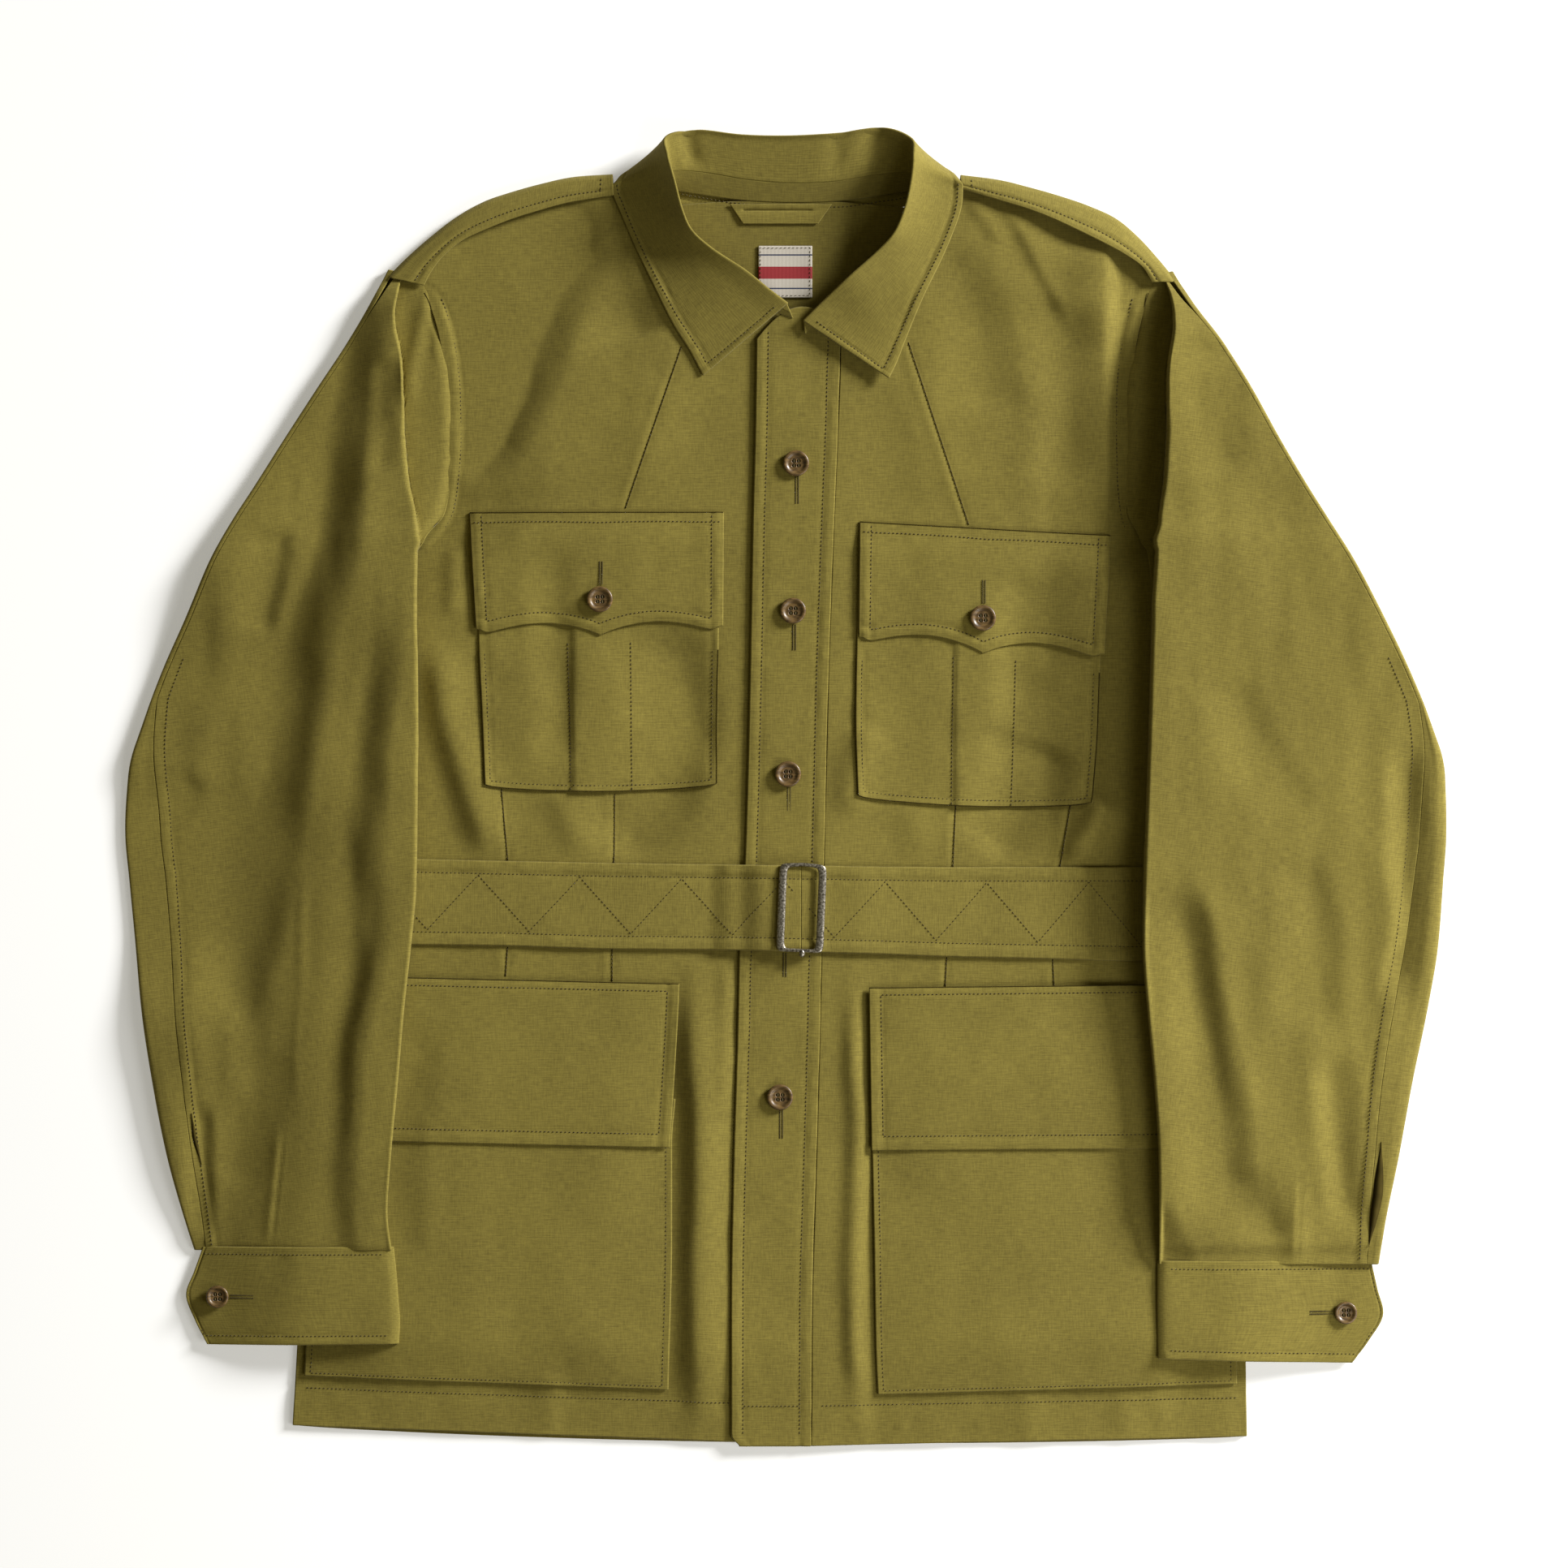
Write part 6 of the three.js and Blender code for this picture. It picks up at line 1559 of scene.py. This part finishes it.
def makeButtons():
    threads = []
    for k, (x, y) in enumerate(frontButtons):
        at = (np.array([float(x)]), np.array([float(y)]))
        level = float(placketMiddle(*at)[0]) + wallSizes["placket"] / 2 + 0.25
        threads += makeButton(f"frontButton{k + 1}", f"button_front_{k + 1}", x, y, level, buttonShape["radius"])
    for side in ("right", "left"):
        x, y = chestButtons[side]
        at = (np.array([float(x)]), np.array([float(y)]))
        level = float(frontTop(*at)[0]) + 3 * wallSizes["seamGap"] + wallSizes["trim"] * 2
        threads += makeButton("chestButton" + side.capitalize(), "button_chest_" + side, x, y,
                              level + chestShape["pleatRelief"] + 0.45, buttonShape["radius"])
        x, y = cuffButtons[side]
        rows = cuffRows[side]
        width, inward = abs(rows["outerX"][2] - rows["innerX"][2]), abs(x - rows["innerX"][2])
        at = [np.array([float(value)]) for value in (x, y, inward, width)]
        level = float(cuffTopHeight(side, *at)[0]) + wallSizes["panel"] / 2 + 0.6
        threads += makeButton("cuffButton" + side.capitalize(), "button_cuff_" + side, x, y, level,
                              buttonShape["cuffRadius"])
    piece = stitchMesh("buttonThreads", threads, length=1.9, pitch=1.4, radius=0.62)
    finishPiece(piece, threadAndShadeFinish)


makeButtons()
print("buttons made")

# Hanger loop and bare label


def neckLevel(x, y, wall):
    return backMiddle(x, y) + wallSizes["panel"] / 2 + wallSizes["seamGap"] + wall / 2 + 0.1


def loopSurface(u, v):
    """A mitred strip whose upper edge is caught in the neck seam, with the finger slot pressed into it."""
    x0, x1 = mix(-31.0, -23.6, v), mix(27.4, 19.6, v)
    y = mix(337.2, 326.2, v)
    x = mix(x0, x1, u)
    slot = bell(y - 333.9, 0.7) * ease((x + 25) / 2) * (1 - ease((x - 15) / 2))
    return np.stack([x, y, neckLevel(x, y, wallSizes["trim"]) + 0.4 * (1 - bell(y - 333.9, 2)) - 0.9 * slot], -1)


labelShape = {"left": -14.6, "right": 16.0, "top": 313.0, "bottom": 283.5, "wall": 0.8}


def labelSurface(u, v):
    x = mix(labelShape["left"], labelShape["right"], u)
    y = mix(labelShape["bottom"], labelShape["top"], v)
    return np.stack([x, y, neckLevel(x, y, labelShape["wall"]) + 0.25 * softNoise(x, y, 12, 91)], -1)


def makeNeckTrim():
    loop = clothShell("hangerLoop", loopSurface, spread(60, 55)[::-1], spread(26, 11, 0.3), wallSizes["trim"])
    finishPiece(loop, bodyCloth, ["hanger_loop"])
    label = clothShell("neckLabel", labelSurface, spread(20, 30), spread(20, 30), labelShape["wall"])
    finishPiece(label, labelFinish, ["neck_label"])


makeNeckTrim()
print("neck trim made")

# Stitching: lines of stitches laid on each surface at a set way in from its edges


def lineOn(surface, wall, uEnds, vEnds, count=160, bend=None):
    t = np.linspace(0, 1, count)
    u, v = mix(uEnds[0], uEnds[1], t), mix(vEnds[0], vEnds[1], t)
    if bend is not None:
        u, v = bend(u, v)
    return pathOn(surface, u, v, wall, 0.12)


def makeStitching():
    panel, trim = wallSizes["panel"], wallSizes["trim"]
    sets = {}
    inset = lambda distance, length: distance / length
    placketLines = [lineOn(placketSurface, wallSizes["placket"], (side, side), (0.01, 0.995), 500)
                    for side in (inset(6.4, 45.6), 1 - inset(6.4, 45.6))]
    placketLines.append(lineOn(placketSurface, wallSizes["placket"], (0.14, 0.86), (0.036, 0.036), 40))
    sets["placketStitches"] = placketLines
    for side in ("right", "left"):
        name = side.capitalize()
        flap = chestFlaps[side]
        d = inset(6.6, 145)
        low = 1 - inset(6.6, 72)
        sets["chestFlapStitches" + name] = [
            lineOn(flap, trim, (d, d), (0.02, low)), lineOn(flap, trim, (1 - d, 1 - d), (0.02, low)),
            lineOn(flap, trim, (d, 1 - d), (low, low), 300), lineOn(flap, trim, (0.01, 0.99), (0.085, 0.085), 200)]
        bag = chestBags[side]
        e = inset(3.0, 140)
        pleat = [(chestPockets[side]["axis"][0] + way * 17.8 - chestPockets[side]["bag"]["leftX"][1])
                 / (chestPockets[side]["bag"]["rightX"][1] - chestPockets[side]["bag"]["leftX"][1]) for way in (-1, 1)]
        sets["chestBagStitches" + name] = [
            lineOn(bag, trim, (e, e), (0.03, 0.62)), lineOn(bag, trim, (1 - e, 1 - e), (0.03, 0.62)),
            lineOn(bag, trim, (e, 1 - e), (0.026, 0.026), 240)] + [lineOn(bag, trim, (p, p), (0.0, 0.66)) for p in pleat]
        lowFlap, f, g = lowerFlaps[side], inset(6.6, 208), inset(6.6, 94)
        sets["lowerFlapStitches" + name] = [
            lineOn(lowFlap, trim, (f, f), (g, 1 - g)), lineOn(lowFlap, trim, (1 - f, 1 - f), (g, 1 - g)),
            lineOn(lowFlap, trim, (f, 1 - f), (1 - g, 1 - g), 300), lineOn(lowFlap, trim, (f, 1 - f), (g, g), 300)]
        lowBag, h, k = lowerBags[side], inset(3.2, 208), inset(3.2, 170)
        sets["lowerBagStitches" + name] = [
            lineOn(lowBag, panel, (h, h), (0.1, 1 - k)), lineOn(lowBag, panel, (1 - h, 1 - h), (0.1, 1 - k)),
            lineOn(lowBag, panel, (h, 1 - h), (1 - k, 1 - k), 300)]
        belt, m = belts[side], inset(7.0, 48.4)
        beltLines = [lineOn(belt, wallSizes["belt"], (0, 1), (m, m), 300),
                     lineOn(belt, wallSizes["belt"], (0, 1), (1 - m, 1 - m), 300), zigzagOn(side)]
        sets["beltStitches" + name] = beltLines
        front = fronts[side]
        sets["hemStitches" + name] = [lineOn(front, panel, (0.02, 0.98), (0.0375, 0.0375), 300)]
        seamLines = []
        for x1, y1, x2, y2 in pressedSeams[side]:
            t = np.linspace(0, 1, 60)
            seamLines.append(groundLine(side, mix(x1, x2, t), mix(y1, y2, t)))
        outline = bodyRight if side == "right" else bodyLeft
        y = np.linspace(150, 283, 120)
        x = lookUp(outline, "y", y, "x") - outward[side] * armhole["stitch"]
        seamLines.append(groundLine(side, x, y))
        sets["frontSeamStitches" + name] = seamLines
        top = sleeveTops[side]
        q = 1 - inset(6.6, 150)
        sets["sleeveStitches" + name] = [lineOn(top, panel, (q, q + 0.01), (0.46, 0.995), 400)]
        cuff = cuffs[side]
        sets["cuffStitches" + name] = [
            lineOn(cuff, panel, (0.03, 0.47), (0.91, 0.91), 200), lineOn(cuff, panel, (0.03, 0.47), (0.07, 0.07), 200),
            lineOn(cuff, panel, (0.026, 0.026), (0.07, 0.91), 60)]
        strap = straps[side]
        sets["strapStitches" + name] = [
            lineOn(strap, trim, (0.16, 0.16), (0.03, 0.99), 200), lineOn(strap, trim, (0.16, 0.5), (0.035, 0.035), 40)]
    sets["collarStitches"] = [
        lineOn(leafSurface, collarShape["wall"], (0.95, 0.95), (0.012, 0.3), 300),
        lineOn(leafSurface, collarShape["wall"], (0.95, 0.95), (0.7, 0.988), 300),
        lineOn(leafSurface, collarShape["wall"], (0.46, 0.95), (0.0105, 0.0105), 100),
        lineOn(leafSurface, collarShape["wall"], (0.46, 0.95), (0.9895, 0.9895), 100)]
    x = np.linspace(-60, 78, 140)
    y = np.interp(x, [-62, -31.5, 4.2, 36.7, 80], [345, 339.6, 336.4, 337.2, 344]) - 1.2
    sets["neckSeamStitches"] = [(np.stack([x, y, backMiddle(x, y) + panel / 2 + 0.05], 1),
                                 np.tile([0.0, 0.0, 1.0], (len(x), 1)))]
    a = labelShape
    corners = np.array([(a["left"] + 1, a["bottom"] + 1), (a["right"] - 1, a["bottom"] + 1),
                        (a["right"] - 1, a["top"] - 1), (a["left"] + 1, a["top"] - 1), (a["left"] + 1, a["bottom"] + 1)])
    edge = np.concatenate([mix(corners[k], corners[k + 1], np.linspace(0, 1, 20)[:, None]) for k in range(4)])
    z = neckLevel(edge[:, 0], edge[:, 1], a["wall"]) + a["wall"] / 2 + 0.3
    sets["labelStitches"] = [(np.column_stack([edge, z]), np.tile([0.0, 0.0, 1.0], (len(edge), 1)))]
    for name, lines in sets.items():
        radius = {"label": 0.2, "beltS": 0.32}.get(name[:5], thread["radius"])
        finishPiece(stitchMesh(name, lines, radius=radius), threadAndShadeFinish)


def topOf(side, x, y):
    """Height of the sleeve's upper side at a place near its outer edge, found on a grid of the surface."""
    u, v = np.meshgrid(np.linspace(0, 1, 200), np.linspace(0, 1, 400), indexing="ij")
    grid = sleeveTops[side](u.ravel(), v.ravel())
    near = np.argmin((grid[:, 0] - x) ** 2 + (grid[:, 1] - y) ** 2)
    return float(grid[near, 2]) + wallSizes["panel"] / 2 + 0.35


sleeveVents = {
    "right": {"places": [(-342, -188), (-340.5, -203), (-336.5, -218)], "width": 2.4},
    "left": {"places": [(344, -204), (342.4, -234), (337.5, -265)], "width": 5.6},
}
for ventSide, ventShape in sleeveVents.items():
    ventShape["places"] = [(x, y, topOf(ventSide, x, y)) for x, y in ventShape["places"]]


def makeSeams():
    """Thin strips of painted shade where a piece is sewn down or two pieces are sewn together."""
    panel, trim = wallSizes["panel"], wallSizes["trim"]
    for side in ("right", "left"):
        lines = []
        for x1, y1, x2, y2 in pressedSeams[side]:
            t = np.linspace(0, 1, 60)
            lines.append(groundLine(side, mix(x1, x2, t), mix(y1, y2, t)))
        flap, bag, low, lowBag = chestFlaps[side], chestBags[side], lowerFlaps[side], lowerBags[side]
        lines += [lineOn(flap, trim, (0.0, 1.0), (0.0, 0.0), 200), lineOn(flap, trim, (0, 0), (0.0, 0.98)),
                  lineOn(bag, trim, (0, 0), (0, 0.62)), lineOn(bag, trim, (1, 1), (0, 0.62)),
                  lineOn(bag, trim, (0, 1), (0, 0), 200), lineOn(low, trim, (0.0, 1.0), (0, 0), 200)]
        outline = bodyRight if side == "right" else bodyLeft
        y = np.linspace(146, 286, 120)
        x = lookUp(outline, "y", y, "x") + outward[side] * (armhole["overlap"] + 0.1)
        at, normals = groundLine(side, x, y)
        at[:, 2] += 0.4
        lines.append((at, normals))
        # these strips carry painted shade along the seams
        finishPiece(seamMesh("seamLines" + side.capitalize(), lines), seamShade)
        # the vent above the cuff stands open; a strip of painted shade stands for the dark inside of the sleeve
        vent = sleeveVents[side]
        at = np.array(vent["places"], float)
        t = np.linspace(0, 2, 60)
        x, y = np.interp(t, [0, 1, 2], at[:, 0]), np.interp(t, [0, 1, 2], at[:, 1])
        z = np.interp(t, [0, 1, 2], at[:, 2])
        line = [(np.stack([x, y, z], 1), np.tile([0.0, 0.0, 1.0], (len(x), 1)))]
        finishPiece(seamMesh("ventPaintedShade" + side.capitalize(), line, vent["width"], 0.3, True), seamShade)


def groundLine(side, x, y):
    """A line on a front panel, given by its places seen from above."""
    raised = placketStep(x, y) if side == "left" else 0.0
    z = frontMiddle(x, y) + raised + wallSizes["panel"] / 2 + 0.1
    return np.stack([x, y, z], 1), np.tile([0.0, 0.0, 1.0], (len(x), 1))


def zigzagOn(side):
    """The belt's wave of stitches: straight strokes between an upper and a lower line."""
    rows = beltRows[side]
    x = np.linspace(rows["x"][0] + 4, rows["x"][-1] - (4 if side == "right" else 1), 900)
    phase = np.abs(((x - beltShape["zigzagPhase"]) / beltShape["zigzagPeriod"] + 0.5) % 1 - 0.5) * 2
    v = mix(beltShape["zigzagTop"], beltShape["zigzagBottom"], phase) / 48.4
    u = (x - rows["x"][0]) / (rows["x"][-1] - rows["x"][0])
    return pathOn(belts[side], u, v, wallSizes["belt"], 0.12)


makeStitching()
makeSeams()
print("stitching made")

# Buttonholes: a slit bound with close stitches

buttonholes = [(7.5, 179.9, 163.8), (5.9, 94.2, 79.2), (2.9, 0.2, -13.4), (0.4, -95.2, -109.3), (-1.6, -186.1, -202.6)]


def boundSlit(centreX, yTop, yBottom, level, lying=False):
    """Two rows of close stitches with the slit between them; lying turns it across the cloth."""
    t = np.linspace(0, 1, 40)
    run = mix(yTop, yBottom, t)
    lines = []
    for side in (-0.75, 0.75):
        if lying:
            x, y = run, np.full_like(run, centreX + side)
        else:
            x, y = np.full_like(run, centreX + side), run
        lines.append((np.stack([x, y, level(x, y)], 1), np.tile([0.0, 0.0, 1.0], (len(t), 1))))
    return lines


def makeButtonholes():
    onPlacket = lambda x, y: placketMiddle(x, y) + wallSizes["placket"] / 2 + 0.05
    lines = []
    for x, top, bottom in buttonholes:
        lines += boundSlit(x, top, bottom, onPlacket)
    for side in ("right", "left"):
        x, y = chestButtons[side]
        onFlap = lambda px, py: (frontTop(px, py) + 3 * wallSizes["seamGap"] + 2 * wallSizes["trim"]
                                 + chestShape["pleatRelief"] + 0.35)
        lines += boundSlit(x + 0.6, y + 8.4, y + 22, onFlap)
        x, y = cuffButtons[side]
        rows = cuffRows[side]
        width = abs(rows["outerX"][2] - rows["innerX"][2])
        onCuff = lambda px, py: (cuffTopHeight(side, px, py, np.abs(px - rows["innerX"][2]), np.full_like(px, width))
                                 + wallSizes["panel"] / 2 + 0.1)
        lines += boundSlit(y, x - outward[side] * 7.2, x - outward[side] * 21, onCuff, lying=True)
    piece = stitchMesh("buttonholeStitches", lines, length=1.3, pitch=0.5, radius=0.22, across=True)
    finishPiece(piece, threadAndShadeFinish)


makeButtonholes()
print("buttonholes made")

# Table and light


def makeStudio():
    size = 6.0
    mesh = bpy.data.meshes.new("tableTop")
    mesh.from_pydata([(-size, -size, -0.0002), (size, -size, -0.0002), (size, size, -0.0002), (-size, size, -0.0002)],
                     [], [(0, 1, 2, 3)])
    table = bpy.data.objects.new("tableTop", mesh)
    bpy.context.scene.collection.objects.link(table)
    mesh.materials.append(tableTop())
    table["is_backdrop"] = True
    aimedLight("keyLight", lighting["keyPlace"], lighting["keySize"], lighting["keyPower"])
    aimedLight("washLight", lighting["washPlace"], lighting["washSize"], lighting["washPower"])
    world = bpy.data.worlds.new("studioSky")
    world.use_nodes = True
    sky = world.node_tree.nodes["Background"]
    sky.inputs["Color"].default_value = lighting["skyColour"]
    sky.inputs["Strength"].default_value = lighting["skyStrength"]
    bpy.context.scene.world = world
    bpy.context.scene.view_settings.view_transform = "Standard"


makeStudio()
print("studio made")

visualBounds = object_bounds()
plain = lambda box: [[float(value) for value in corner] for corner in box]
{"cad": plain(cadBounds), "visual": plain(visualBounds)}
